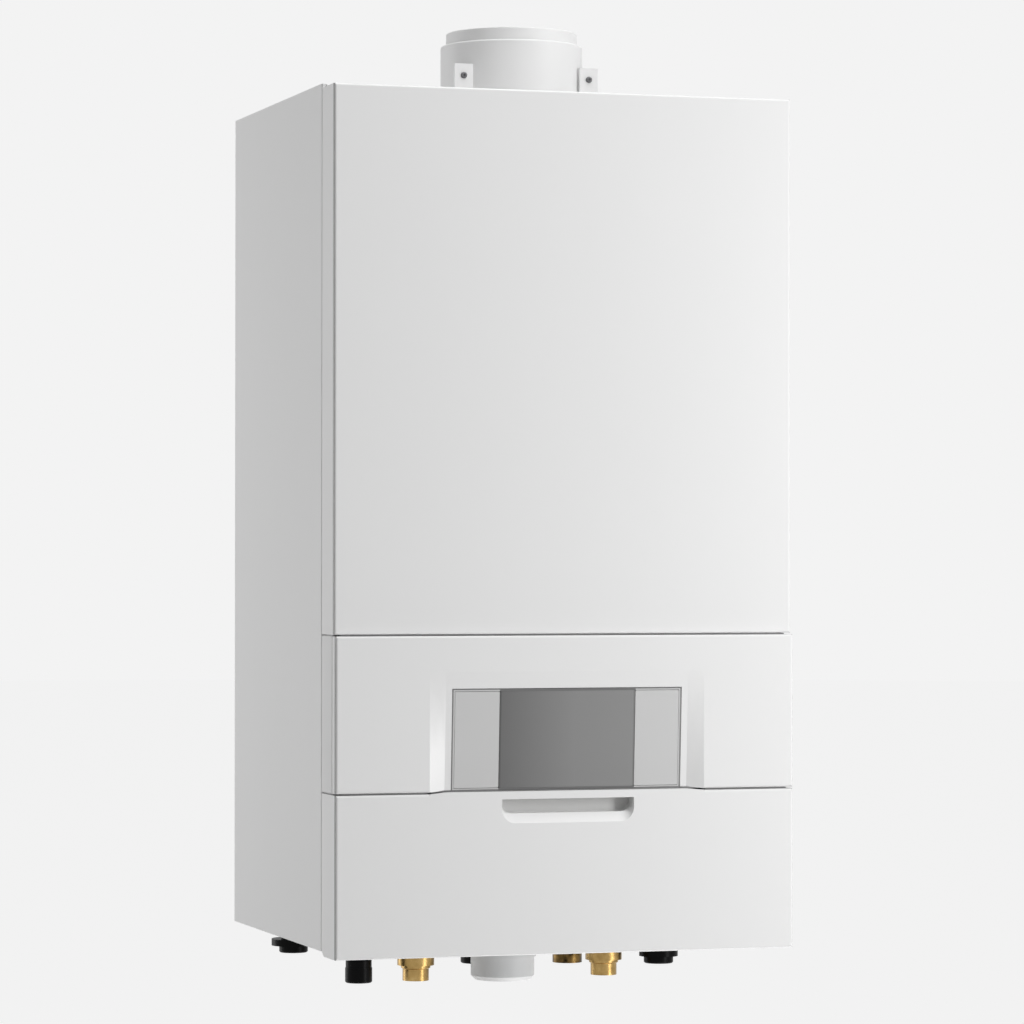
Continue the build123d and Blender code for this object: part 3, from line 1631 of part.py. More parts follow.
spout_top = plate_z + spout_rise
relief_shoulder = spout_top + relief_neck_h
relief_top = relief_shoulder + relief_slope + relief_cap_h
with BuildPart() as safety_valve:
    turned(
        discharge_x,
        discharge_y,
        [
            (0, spout_top),
            (relief_neck_r, spout_top),
            (relief_neck_r, relief_shoulder),
            (relief_cap_r, relief_shoulder + relief_slope),
            (relief_cap_r, relief_top - relief_edge),
            (relief_cap_r - relief_edge, relief_top),
            (0, relief_top),
        ],
    )
finish(safety_valve, "safety_valve")

# ---------------------------------------------------------------- condensate trap

outlet_y = trap_y + trap_outlet_l
collar_top = plate_top + trap_collar_t
with BuildPart() as trap_body:
    turned(
        0,
        trap_y,
        [
            (0, trap_low + trap_floor),
            (trap_neck_r, trap_low + trap_floor),
            (trap_neck_r, plate_top),
            (trap_neck_r + trap_collar_w, plate_top),
            (trap_neck_r + trap_collar_w, collar_top),
            (trap_neck_r, collar_top),
            (trap_neck_r, trap_top - trap_shoulder_h),
            (trap_mouth_r, trap_top - trap_mouth_h),
            (trap_mouth_r, trap_top),
            (0, trap_top),
        ],
    )
    bar_y(0, trap_outlet_z, (trap_y, outlet_y), spout_r + trap_outlet_wall)
finish(trap_body, "trap_body")

cup_in = trap_neck_r + seat_gap
band_low = trap_low + cup_band_rise
with BuildPart() as trap_cup:
    turned(
        0,
        trap_y,
        [
            (0, trap_low),
            (trap_r - cup_edge, trap_low),
            (trap_r, trap_low + cup_edge),
            (trap_r, band_low),
            (trap_r + cup_band_t, band_low),
            (trap_r + cup_band_t, band_low + cup_band_h),
            (trap_r, band_low + cup_band_h),
            (trap_r, trap_cup_top),
            (cup_in, trap_cup_top),
            (cup_in, trap_low + trap_floor),
            (0, trap_low + trap_floor),
        ],
    )
finish(trap_cup, "trap_cup")

# ---------------------------------------------------------------- connections under the casing


def tail(x, y, low, radius, bore, height, flanged=False):
    """Pipe tail through the bottom plate: open end, hexagon or flange, shoulder and pipe above."""
    bar_z(x, y, (low, low + height), radius)
    if flanged:
        neck_low = low + neck_rise
        collar_low = neck_low + neck_h
        turned(
            x,
            y,
            [
                (0, neck_low),
                (radius, neck_low),
                (neck_r, neck_low + neck_slope),
                (neck_r, collar_low),
                (collar_r, collar_low),
                (collar_r, collar_low + collar_h),
                (0, collar_low + collar_h),
            ],
        )
        bar_z(x, y, (collar_low + collar_h, plate_z), shoulder_r)
    else:
        with BuildSketch(Plane.XY.offset(low + height)) as nut:
            with Locations((x, y)):
                RegularPolygon(nut_r, 6)
        extrude(nut.sketch, amount=nut_h)
        bar_z(x, y, (low + height + nut_h, plate_z), shoulder_r)
    bar_z(x, y, (plate_z, tail_top), tail_r)
    bar_z(x, y, (low, tail_top), tail_bore_r, Mode.SUBTRACT)
    bar_z(x, y, (low, low + height), bore, Mode.SUBTRACT)


flow_low = flow_cap_low + cap_floor + seat_gap
return_low = return_cap_low + cap_floor + seat_gap
with BuildPart() as pipe_tails:
    for side in (-1, 1):
        tail(side * water_x, row_y, water_low, socket_r, socket_bore_r, socket_h, flanged=True)
    tail(gas_x, gas_y, gas_low, gas_socket_r, socket_bore_r, gas_socket_h)
    tail(-heating_x, row_y, flow_low, heating_r, heating_bore_r, flow_end_h)
    tail(heating_x, row_y, return_low, heating_r, heating_bore_r, return_end_h)
finish(pipe_tails, "pipe_tails")

cap_in = heating_r + seat_gap
with BuildPart() as tail_caps:
    turned(
        -heating_x,
        row_y,
        [
            (0, flow_cap_low),
            (cap_r - cap_edge, flow_cap_low),
            (cap_r, flow_cap_low + cap_edge),
            (cap_r, flow_cap_low + cap_band_h),
            (cap_r - cap_relief, flow_cap_low + cap_band_h),
            (cap_r - cap_relief, flow_low + cap_skirt),
            (cap_in, flow_low + cap_skirt),
            (cap_in, flow_cap_low + cap_floor),
            (0, flow_cap_low + cap_floor),
        ],
    )
    turned(
        heating_x,
        row_y,
        [
            (0, return_cap_low),
            (return_cap_r - cap_edge, return_cap_low),
            (return_cap_r, return_cap_low + cap_edge),
            (return_cap_r, return_cap_low + return_cap_h),
            (return_cap_flange_r, return_cap_low + return_cap_h),
            (return_cap_flange_r, return_low + return_cap_skirt),
            (cap_in, return_low + return_cap_skirt),
            (cap_in, return_cap_low + cap_floor),
            (0, return_cap_low + cap_floor),
        ],
    )
finish(tail_caps, "tail_caps")

with BuildPart() as lock_nuts:
    with BuildSketch(Plane.XY.offset(plate_top)):
        with Locations(*tail_places):
            RegularPolygon(lock_nut_r, 6)
            Circle(tail_r + seat_gap, mode=Mode.SUBTRACT)
    extrude(amount=lock_nut_h)
finish(lock_nuts, "lock_nuts")

with BuildPart() as drain_spouts:
    turned(
        discharge_x,
        discharge_y,
        [
            (0, discharge_low),
            (discharge_r - spout_edge, discharge_low),
            (discharge_r, discharge_low + spout_edge),
            (discharge_r, discharge_flange_low),
            (discharge_flange_r, discharge_flange_low),
            (discharge_flange_r, discharge_flange_top),
            (spout_r + spout_sleeve, discharge_flange_top),
            (spout_r + spout_sleeve, plate_z),
            (spout_r, plate_z),
            (spout_r, spout_top),
            (0, spout_top),
        ],
    )
    turned(
        drain_x,
        gas_y,
        [
            (0, drain_low),
            (drain_r - spout_edge, drain_low),
            (drain_r, drain_low + spout_edge),
            (drain_r, drain_cap_top),
            (spout_r + spout_sleeve, drain_cap_top),
            (spout_r + spout_sleeve, plate_z),
            (spout_r, plate_z),
            (spout_r, spout_top),
            (0, spout_top),
        ],
    )
    pipe(
        [
            (drain_x, gas_y, spout_top - spout_edge),
            (drain_x, gas_y, trap_outlet_z),
            (drain_x, outlet_y, trap_outlet_z),
        ],
        spout_r,
        drain_bend,
    )
finish(drain_spouts, "drain_spouts")
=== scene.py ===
import json
import math

import bmesh
import bpy
from mathutils import Matrix, Vector


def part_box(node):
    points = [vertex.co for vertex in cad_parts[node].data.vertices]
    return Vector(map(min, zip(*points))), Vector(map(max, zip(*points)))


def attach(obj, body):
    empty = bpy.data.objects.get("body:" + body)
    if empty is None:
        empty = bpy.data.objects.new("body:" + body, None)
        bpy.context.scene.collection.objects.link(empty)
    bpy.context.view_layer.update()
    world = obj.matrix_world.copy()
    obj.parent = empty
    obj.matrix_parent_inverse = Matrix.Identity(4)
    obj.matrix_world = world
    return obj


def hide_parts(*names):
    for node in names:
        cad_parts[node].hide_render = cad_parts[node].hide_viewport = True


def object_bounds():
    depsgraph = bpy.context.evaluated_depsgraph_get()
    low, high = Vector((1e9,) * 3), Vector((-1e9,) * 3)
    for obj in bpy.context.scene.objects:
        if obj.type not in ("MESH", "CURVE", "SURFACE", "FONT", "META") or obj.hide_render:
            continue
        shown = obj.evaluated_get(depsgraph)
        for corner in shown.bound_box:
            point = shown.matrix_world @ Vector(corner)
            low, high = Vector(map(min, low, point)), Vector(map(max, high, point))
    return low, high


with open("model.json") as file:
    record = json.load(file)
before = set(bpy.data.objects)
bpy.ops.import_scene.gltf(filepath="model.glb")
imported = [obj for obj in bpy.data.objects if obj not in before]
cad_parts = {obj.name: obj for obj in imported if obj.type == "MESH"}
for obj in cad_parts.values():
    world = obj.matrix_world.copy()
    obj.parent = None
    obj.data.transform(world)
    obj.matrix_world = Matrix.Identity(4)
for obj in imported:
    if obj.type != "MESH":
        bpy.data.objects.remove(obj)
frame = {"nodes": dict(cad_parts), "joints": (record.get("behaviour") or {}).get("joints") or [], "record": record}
cad_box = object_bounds()

# Wall-hung combi boiler, in the frame of the model: X to the right, Y into the wall, Z up. The scene is in
# metres; sizes and places of the boiler's pieces are named in millimetres.

MM = 0.001


def in_mm(place):
    """A place of the frame, which is in metres, as millimetres to a thousandth."""
    return [round(v / MM, 3) for v in place]


def corners(node):
    """Lowest and highest corner of one of the model's nodes, in millimetres."""
    return [in_mm(corner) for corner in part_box(node)]


def entry_named(entries, name):
    """The joint or mount of the frame that has this name."""
    return next(entry for entry in entries if entry["name"] == name)


HALF_WIDTH = in_mm(cad_box[1])[0]
FASCIA_LOW, FASCIA_HIGH = corners("fascia")
COVER_LOW = corners("front_cover")[0]
FORWARD, BACKWARD, DOWNWARD = (0, -1, 0), (0, 1, 0), (0, 0, -1)


# ---------------------------------------------------------------- camera, lights and floor


# The camera was solved from the casing's corner lines: place in millimetres, angles in degrees.
CAMERA_PLACE = (-1178.5, -3936.9, 352.56)
CAMERA_YAW, CAMERA_PITCH, CAMERA_ROLL = 17.56, 0.7226, 0.0265
SENSOR_WIDTH, FOCAL_LENGTH = 36.0, 143.87

# The floor lies well under the boiler, which hangs, and is wide enough that no view shows its rim. In metres.
FLOOR_HEIGHT, FLOOR_RADIUS = -0.9, 40.0


def linear(code):
    """An sRGB hex colour as linear red, green, blue and alpha."""
    channels = [int(code[n:n + 2], 16) / 255 for n in (1, 3, 5)]
    return [c / 12.92 if c <= 0.04045 else ((c + 0.055) / 1.055) ** 2.4 for c in channels] + [1.0]


def add(tree, kind, values=None, links=None, stops=None, **settings):
    """Add a node with its settings, input values, colour stops and links."""
    node = tree.nodes.new(kind)
    for name, value in settings.items():
        setattr(node, name, value)
    for name, value in (values or {}).items():
        node.inputs[name].default_value = value
    for name, socket in (links or {}).items():
        tree.links.new(socket, node.inputs[name])
    for n, (place, colour) in enumerate(stops or []):
        ramp = node.color_ramp.elements
        stop = ramp[n] if n < len(ramp) else ramp.new(place)
        stop.position = place
        stop.color = linear(colour)
    return node


def place_camera():
    """Camera at the photograph's angle: far off, left of the middle and a little under half height."""
    yaw, pitch, roll = (math.radians(angle) for angle in (CAMERA_YAW, CAMERA_PITCH, CAMERA_ROLL))
    ahead = Vector((
        math.sin(yaw) * math.cos(pitch),
        math.cos(yaw) * math.cos(pitch),
        math.sin(pitch),
    ))
    right = Vector((math.cos(yaw), -math.sin(yaw), 0))
    up = right.cross(ahead)
    side = right * math.cos(roll) + up * math.sin(roll)
    top = up * math.cos(roll) - right * math.sin(roll)
    lens = bpy.data.cameras.new("camera")
    lens.sensor_width = SENSOR_WIDTH
    lens.lens = FOCAL_LENGTH
    camera = bpy.data.objects.new("camera", lens)
    place = Vector(CAMERA_PLACE) * MM
    camera.matrix_world = Matrix((
        (side.x, top.x, -ahead.x, place.x),
        (side.y, top.y, -ahead.y, place.y),
        (side.z, top.z, -ahead.z, place.z),
        (0, 0, 0, 1),
    ))
    bpy.context.collection.objects.link(camera)
    bpy.context.scene.camera = camera


def softbox(name, place, aim, size, power):
    """Rectangular studio lamp that shines from a place towards a point: metres and watts."""
    lamp = bpy.data.lights.new(name, "AREA")
    lamp.shape = "RECTANGLE"
    lamp.size, lamp.size_y = size
    lamp.energy = power
    box = bpy.data.objects.new(name, lamp)
    box.location = place
    box.rotation_euler = (Vector(aim) - Vector(place)).to_track_quat("-Z", "Y").to_euler()
    box.visible_camera = False
    bpy.context.collection.objects.link(box)


def seen_as_backdrop(tree):
    """1 where the eye looks, straight, mirrored or through glass, and 0 for the light on surfaces."""
    rays = add(tree, "ShaderNodeLightPath")
    straight_or_mirrored = add(tree, "ShaderNodeMath", operation="MAXIMUM", links={
        0: rays.outputs["Is Camera Ray"],
        1: rays.outputs["Is Glossy Ray"],
    })
    return add(tree, "ShaderNodeMath", operation="MAXIMUM", links={
        0: straight_or_mirrored.outputs[0],
        1: rays.outputs["Is Transmission Ray"],
    }).outputs[0]


def light_studio():
    """Pale surroundings and six lamps.

    A tall one stands at the right front, a wide and a narrow one at the left behind, one hangs above,
    one above the front, and a faint one lies below.
    """
    world = bpy.data.worlds.new("studio")
    bpy.context.scene.world = world
    world.use_nodes = True
    tree = world.node_tree
    tree.nodes.clear()
    backdrop = add(tree, "ShaderNodeBackground", values={"Color": linear("#F3F3F3"), "Strength": 1.0})
    ambient = add(tree, "ShaderNodeBackground", values={"Color": linear("#FFFFFF"), "Strength": 0.27})
    mixed = add(tree, "ShaderNodeMixShader", links={
        0: seen_as_backdrop(tree),
        1: ambient.outputs[0],
        2: backdrop.outputs[0],
    })
    add(tree, "ShaderNodeOutputWorld", links={"Surface": mixed.outputs[0]})
    softbox("key_lamp", place=(1.10, -1.50, 0.40), aim=(0.0, -0.38, 0.42), size=(0.4, 1.4), power=14.8)
    softbox("side_lamp", place=(-2.5, 2.2, 0.45), aim=(-0.22, -0.20, 0.45), size=(1.0, 1.4), power=10.0)
    softbox("rear_lamp", place=(-0.9, 0.65, 0.40), aim=(-0.22, -0.10, 0.40), size=(0.3, 1.2), power=2.3)
    softbox("top_lamp", place=(0.0, -0.30, 2.60), aim=(0.0, -0.25, 0.80), size=(1.2, 1.2), power=16.0)
    softbox("front_top_lamp", place=(0.6, -1.6, 2.6), aim=(0.0, -0.38, 0.60), size=(1.2, 1.2), power=18.5)
    softbox("low_lamp", place=(0.3, -0.25, -0.82), aim=(0.0, -0.20, -0.03), size=(0.8, 0.5), power=4.0)


def lay_floor():
    """Pale floor far under the boiler: to the eye as pale as the backdrop, and clear from below.

    What the eye sees of it glows a little, so that it keeps a soft shadow and no edge shows. The light
    that it throws back on the boiler is that of plain matt paint.
    """
    paint = bpy.data.materials.new("floor_paint")
    paint.use_nodes = True
    tree = paint.node_tree
    tree.nodes.clear()
    matt = add(tree, "ShaderNodeBsdfDiffuse", values={"Color": linear("#DADAD9")})
    shadowed = add(tree, "ShaderNodeBsdfDiffuse", values={"Color": linear("#8C8C8C")})
    pale = add(tree, "ShaderNodeEmission", values={"Color": linear("#FFFFFF"), "Strength": 0.815})
    lit = add(tree, "ShaderNodeAddShader", links={0: shadowed.outputs[0], 1: pale.outputs[0]})
    seen = add(tree, "ShaderNodeMixShader", links={
        0: seen_as_backdrop(tree),
        1: matt.outputs[0],
        2: lit.outputs[0],
    })
    under = add(tree, "ShaderNodeNewGeometry").outputs["Backfacing"]
    clear = add(tree, "ShaderNodeBsdfTransparent")
    both = add(tree, "ShaderNodeMixShader", links={0: under, 1: seen.outputs[0], 2: clear.outputs[0]})
    add(tree, "ShaderNodeOutputMaterial", links={"Surface": both.outputs[0]})
    mesh = bpy.data.meshes.new("floor")
    shape = bmesh.new()
    bmesh.ops.create_circle(shape, cap_ends=True, segments=96, radius=FLOOR_RADIUS)
    bmesh.ops.translate(shape, verts=shape.verts, vec=(0, 0, FLOOR_HEIGHT))
    shape.to_mesh(mesh)
    shape.free()
    floor = bpy.data.objects.new("floor", mesh)
    floor.data.materials.append(paint)
    bpy.context.collection.objects.link(floor)


# ---------------------------------------------------------------- finishes


def finish_named(name, colour, roughness, metallic=0.0, **sockets):
    """A material with its constants on the shader, and the object's coordinates for its patterns."""
    finish = bpy.data.materials.new(name)
    finish.use_nodes = True
    tree = finish.node_tree
    shader = tree.nodes["Principled BSDF"]
    shader.inputs["Base Color"].default_value = linear(colour)
    shader.inputs["Roughness"].default_value = roughness
    shader.inputs["Metallic"].default_value = metallic
    for socket, value in sockets.items():
        shader.inputs[socket.replace("_", " ")].default_value = value
    place = add(tree, "ShaderNodeTexCoord").outputs["Object"]
    finish.diffuse_color = linear(colour)
    return finish, tree, shader, place


def patches(tree, place, size, detail=2.0, stretch=(1, 1, 1)):
    """Soft uneven patches of a size in millimetres, drawn out along an axis where the finish has a grain."""
    stretched = add(tree, "ShaderNodeMapping", values={"Scale": stretch}, links={"Vector": place})
    return add(tree, "ShaderNodeTexNoise", values={"Scale": 1 / (size * MM), "Detail": detail},
               links={"Vector": stretched.outputs[0]}).outputs["Fac"]


def vary_roughness(tree, shader, pattern, low, high):
    """Gloss that changes with a pattern between two roughnesses."""
    level = add(tree, "ShaderNodeMapRange", values={"To Min": low, "To Max": high},
                links={"Value": pattern})
    tree.links.new(level.outputs["Result"], shader.inputs["Roughness"])


def vary_colour(tree, shader, pattern, stops):
    """Colour that changes with a pattern through a few stops."""
    ramp = add(tree, "ShaderNodeValToRGB", links={"Fac": pattern}, stops=stops)
    tree.links.new(ramp.outputs["Color"], shader.inputs["Base Color"])


def relief(tree, shader, pattern, depth, strength):
    """Surface relief of a pattern, its depth in millimetres."""
    bump = add(tree, "ShaderNodeBump", values={"Distance": depth * MM, "Strength": strength},
               links={"Height": pattern})
    tree.links.new(bump.outputs["Normal"], shader.inputs["Normal"])


def span(tree, value, low, high, soft):
    """1 where a value lies between two bounds and 0 outside, softened over a width, in millimetres."""
    rise = add(tree, "ShaderNodeMapRange", links={"Value": value},
               values={"From Min": (low - soft) * MM, "From Max": (low + soft) * MM})
    fall = add(tree, "ShaderNodeMapRange", links={"Value": value},
               values={"From Min": (high + soft) * MM, "From Max": (high - soft) * MM})
    return add(tree, "ShaderNodeMath", operation="MULTIPLY", links={
        0: rise.outputs["Result"], 1: fall.outputs["Result"]}).outputs[0]


# The finger pocket's deep part, which gets painted shade: half its width, how far its walls reach back from the
# front, and their lowest and highest edge below the fascia.
POCKET_HALF = 63.6
POCKET_BACK = (4.0, 34.0)
POCKET_BELOW = (19.9, 4.3)

# The joint between a front's skin and its side returns, behind the corner, and how near to the casing's
# side a face lies that shows it.
JOINT_BACK = (1.0, 5.0)
SIDE_FACE = 1.2

# Half widths of the display's window and, with some room, of its frame, the gap beside the window, and the
# light surround of the pads.
WINDOW_HALF = 65.0
RIM_HALF = 120.0
WINDOW_GAP = 0.3
PAD_SURROUND = 1.5

# The heating tails lie further out than this on both sides, and the gas tail further back than this. Painted shade
# takes the gas tail's colours down to a share, and sets in over a short way on both sides of its place.
WATER_TAILS_HALF = 125.0
GAS_TAIL_FRONT = -150.0
GAS_TAIL_SHADE_SHARE = 0.26
GAS_TAIL_SHADE_FADE = 2.0


def pocket_wall(tree, place):
    """1 on the upright inner walls of the flap's finger pocket, where grey painted shade goes."""
    ways = add(tree, "ShaderNodeSeparateXYZ", links={"Vector": place}).outputs
    near, far = (FASCIA_LOW[1] + back for back in POCKET_BACK)
    low, high = (FASCIA_LOW[2] - below for below in POCKET_BELOW)
    across = span(tree, ways["X"], -POCKET_HALF, POCKET_HALF, soft=0.5)
    inward = span(tree, ways["Y"], near, far, soft=1.5)
    upward = span(tree, ways["Z"], low, high, soft=0.8)
    face = add(tree, "ShaderNodeMath", operation="MULTIPLY", links={0: across, 1: inward}).outputs[0]
    return add(tree, "ShaderNodeMath", operation="MULTIPLY", links={0: face, 1: upward}).outputs[0]


def side_joint(tree, place, front):
    """1 in the joint on the side returns' outer faces, a little behind a front, in millimetres."""
    ways = add(tree, "ShaderNodeSeparateXYZ", links={"Vector": place}).outputs
    out = add(tree, "ShaderNodeMath", operation="ABSOLUTE", links={0: ways["X"]}).outputs[0]
    outer_face = span(tree, out, HALF_WIDTH - SIDE_FACE, HALF_WIDTH + SIDE_FACE, soft=0.4)
    near, far = (front + back for back in JOINT_BACK)
    behind = span(tree, ways["Y"], near, far, soft=0.2)
    return add(tree, "ShaderNodeMath", operation="MULTIPLY", links={0: outer_face, 1: behind}).outputs[0]


def powder_coat(name, colour, front=None, pocket=False):
    """Polyester powder coat on sheet steel: smooth satin with a faint orange peel about 2.5 mm across.

    Where a front is given, its skin meets the side returns in a thin grey joint behind the corner.
    The flap's coat also turns a light grey in its finger pocket: painted shade, where the light from above does
    not reach in.
    """
    finish, tree, shader, place = finish_named(name, colour, roughness=0.36)
    light_grey = 0.4
    if front:
        grey = side_joint(tree, place, front)
        if pocket:
            wall = add(tree, "ShaderNodeMath", operation="MULTIPLY", values={1: light_grey},
                       links={0: pocket_wall(tree, place)}).outputs[0]
            grey = add(tree, "ShaderNodeMath", operation="MAXIMUM", links={0: grey, 1: wall}).outputs[0]
        # The light grey is painted shade in the finger pocket; the dark grey is the joint's own colour.
        vary_colour(tree, shader, grey, [(0.0, colour), (light_grey, "#DADAD9"), (1.0, "#8A8A8A")])
    relief(tree, shader, patches(tree, place, size=2.5, detail=1.0), depth=0.02, strength=0.5)
    vary_roughness(tree, shader, patches(tree, place, size=60.0), 0.33, 0.40)
    return finish


def moulded_plastic(name, colour, roughness, grain, gloss=0.5):
    """Injection-moulded plastic: even colour, a fine spark-eroded grain and slightly cloudy gloss."""
    finish, tree, shader, place = finish_named(name, colour, roughness, Specular_IOR_Level=gloss)
    relief(tree, shader, patches(tree, place, grain, detail=3.0), depth=0.02, strength=0.6)
    vary_roughness(tree, shader, patches(tree, place, size=25.0), roughness - 0.04, roughness + 0.05)
    return finish


def share_across(tree, place, half):
    """Way across the boiler: 0 at half a width left of the middle and 1 at as much to the right of it."""
    across = add(tree, "ShaderNodeSeparateXYZ", links={"Vector": place}).outputs["X"]
    return add(tree, "ShaderNodeMapRange", values={"From Min": -half * MM, "From Max": half * MM},
               links={"Value": across}).outputs["Result"]


def smoked_window():
    """Smoked acrylic, polished, with a painted reflection: darker to the left, lighter to the right, and a thin
    darker line at each end.
    """
    finish, tree, shader, place = finish_named("smoked_acrylic_polished", "#828282", roughness=0.16)
    # Painted reflection: the window's colour rises from left to right as a softbox's reflection would, with a thin
    # darker line at each end.
    vary_colour(tree, shader, share_across(tree, place, WINDOW_HALF), [
        (0.0, "#565656"), (0.007, "#5C5C5C"), (0.014, "#6F6F6F"), (0.30, "#818181"),
        (0.55, "#8D8D8D"), (0.985, "#919191"), (0.993, "#818181"), (1.0, "#7C7C7C"),
    ])
    relief(tree, shader, patches(tree, place, size=30.0, detail=1.0), depth=0.01, strength=0.3)
    return finish


def rim_plastic():
    """Moulded grey plastic of the display's frame with painted shade: dark above and below the window, lighter at
    its ends.

    Round each pad the rim is as light as the pad, to a little out from it, and then has a thin dark edge of
    painted shade. The right end is a little darker than the left, also painted shade.
    """
    finish, tree, shader, place = finish_named("abs_moulded_painted_shade", "#727272", roughness=0.42)
    ways = add(tree, "ShaderNodeSeparateXYZ", links={"Vector": place}).outputs
    out = add(tree, "ShaderNodeMath", operation="ABSOLUTE", links={0: ways["X"]}).outputs[0]
    low, high = corners("right_pad")
    across = span(tree, out, WINDOW_HALF + WINDOW_GAP, high[0] + PAD_SURROUND, soft=0.15)
    upward = span(tree, ways["Z"], low[2] - PAD_SURROUND, high[2] + PAD_SURROUND, soft=0.15)
    light = add(tree, "ShaderNodeMath", operation="MULTIPLY", links={0: across, 1: upward}).outputs[0]
    dark = add(tree, "ShaderNodeMath", operation="SUBTRACT", values={0: 1.0}, links={1: light}).outputs[0]
    # The first colour is the pads' surround, where the share is brought to 0. The rim's left end comes next. The
    # greys after it are painted shade, darkest above and below the window.
    share = share_across(tree, place, RIM_HALF)
    tone = add(tree, "ShaderNodeMath", operation="MULTIPLY", links={0: share, 1: dark}).outputs[0]
    vary_colour(tree, shader, tone, [
        (0.0, "#CECECE"), (0.02, "#B8B8B8"), (0.038, "#B8B8B8"), (0.042, "#8C8C8C"), (0.225, "#8C8C8C"),
        (0.229, "#6C6C6C"), (0.771, "#6C6C6C"), (0.775, "#8C8C8C"), (0.958, "#8C8C8C"),
        (0.962, "#A0A0A0"), (1.0, "#A0A0A0"),
    ])
    relief(tree, shader, patches(tree, place, size=0.8, detail=3.0), depth=0.02, strength=0.6)
    return finish


def turned_brass(name, blackened_and_shaded=False):
    """Brass turned on a lathe: warm yellow metal with fine rings, drawn 0.8 mm apart so that they show.

    Of the pipe tails, the two for heating are black, and the gas tail, back under the casing, is darkened by
    painted shade.
    """
    finish, tree, shader, place = finish_named(name, "#B0925C", roughness=0.32, metallic=1.0)
    ring_pitch = 0.8
    rings_at_scale_one = 0.314  # the distance between a wave texture's bands
    rings = add(tree, "ShaderNodeTexWave", wave_type="BANDS", bands_direction="Z",
                values={"Scale": rings_at_scale_one / (ring_pitch * MM), "Distortion": 0.6, "Detail": 2.0},
                links={"Vector": place}).outputs["Fac"]
    relief(tree, shader, rings, depth=0.015, strength=0.6)
    tarnish = patches(tree, place, size=9.0, detail=4.0)
    shade = tarnish
    if blackened_and_shaded:
        ways = add(tree, "ShaderNodeSeparateXYZ", links={"Vector": place}).outputs
        bright = span(tree, ways["X"], -WATER_TAILS_HALF, WATER_TAILS_HALF, soft=0.5)
        # Painted shade: the gas tail, further back under the casing, is darkened to a share of its brass.
        gas_tail_shade = add(tree, "ShaderNodeMapRange", links={"Value": ways["Y"]}, values={
            "From Min": (GAS_TAIL_FRONT - GAS_TAIL_SHADE_FADE) * MM, "From Max": (GAS_TAIL_FRONT + GAS_TAIL_SHADE_FADE) * MM,
            "To Min": 1.0, "To Max": GAS_TAIL_SHADE_SHARE}).outputs["Result"]
        level = add(tree, "ShaderNodeMath", operation="MULTIPLY", links={0: bright, 1: gas_tail_shade}).outputs[0]
        shade = add(tree, "ShaderNodeMath", operation="MULTIPLY", links={0: tarnish, 1: level}).outputs[0]
    vary_colour(tree, shader, shade, [
        (0.0, "#060606"), (0.08, "#060606"), (0.20, "#8F7343"), (0.55, "#B0925C"), (0.80, "#C8AB76"),
    ])
    vary_roughness(tree, shader, tarnish, 0.26, 0.38)
    return finish


def drawn_copper():
    """Hard-drawn copper tube: salmon metal, brown where it was handled, with long faint draw marks."""
    finish, tree, shader, place = finish_named("drawn_copper", "#C07A56", roughness=0.32, metallic=1.0)
    handled = patches(tree, place, size=26.0, detail=5.0)
    vary_colour(tree, shader, handled, [(0.30, "#8E5238"), (0.52, "#BE7A57"), (0.78, "#D29474")])
    vary_roughness(tree, shader, handled, 0.26, 0.46)
    relief(tree, shader, patches(tree, place, size=1.2, stretch=(1, 1, 0.08)), depth=0.01, strength=0.5)
    return finish


def galvanised_sheet():
    """Hot-dip galvanised sheet: pale grey zinc with crystals 5 mm across, barely different in shade."""
    finish, tree, shader, place = finish_named("galvanised_sheet", "#A9ADB0", roughness=0.42, metallic=1.0)
    crystal_size = 5
    crystals = add(tree, "ShaderNodeTexVoronoi", feature="F1",
                   values={"Scale": 1 / (crystal_size * MM), "Randomness": 1.0}, links={"Vector": place})
    shade = add(tree, "ShaderNodeSeparateColor", links={"Color": crystals.outputs["Color"]}).outputs[0]
    vary_colour(tree, shader, shade, [(0.0, "#A9ADB0"), (0.5, "#B0B4B6"), (1.0, "#B8BBBD")])
    vary_roughness(tree, shader, shade, 0.40, 0.50)
    relief(tree, shader, patches(tree, place, size=4.0, detail=3.0), depth=0.01, strength=0.3)
    return finish


def plated_steel(name, colour, roughness):
    """Zinc or nickel plate on small steel pieces: thin bright coat with worn, duller patches."""
    finish, tree, shader, place = finish_named(name, colour, roughness, metallic=1.0)
    worn = patches(tree, place, size=3.0, detail=4.0)
    vary_roughness(tree, shader, worn, roughness - 0.06, roughness + 0.12)
    relief(tree, shader, worn, depth=0.01, strength=0.4)
    return finish


def cast_aluminium():
    """Sand-cast aluminium: pale grey metal with the sand's grain, about 1 mm, and a dull skin."""
    finish, tree, shader, place = finish_named("sand_cast_aluminium", "#B4B6B8", roughness=0.55, metallic=1.0)
    sand = patches(tree, place, size=1.1, detail=4.0)
    relief(tree, shader, sand, depth=0.12, strength=0.8)
    vary_colour(tree, shader, patches(tree, place, size=40.0, detail=5.0),
                [(0.3, "#A3A6A9"), (0.7, "#BDBFC1")])
    vary_roughness(tree, shader, sand, 0.48, 0.66)
    return finish


def brushed_stainless():
    """Stainless sheet, brushed along its height: grey metal with fine streaks 0.6 mm wide."""
    finish, tree, shader, place = finish_named("brushed_stainless", "#B9BBBD", roughness=0.30, metallic=1.0)
    streaks = patches(tree, place, size=0.6, detail=3.0, stretch=(1, 1, 0.03))
    relief(tree, shader, streaks, depth=0.01, strength=0.5)
    vary_roughness(tree, shader, streaks, 0.24, 0.40)
    return finish


def vessel_enamel():
    """Red stoving enamel on the deep-drawn vessel: glossy with an orange peel about 3 mm across."""
    finish, tree, shader, place = finish_named("stoving_enamel_red", "#A8201C", roughness=0.30)
    relief(tree, shader, patches(tree, place, size=3.0, detail=1.0), depth=0.05, strength=0.6)
    vary_colour(tree, shader, patches(tree, place, size=90.0), [(0.3, "#9B1C19"), (0.7, "#B02520")])
    return finish


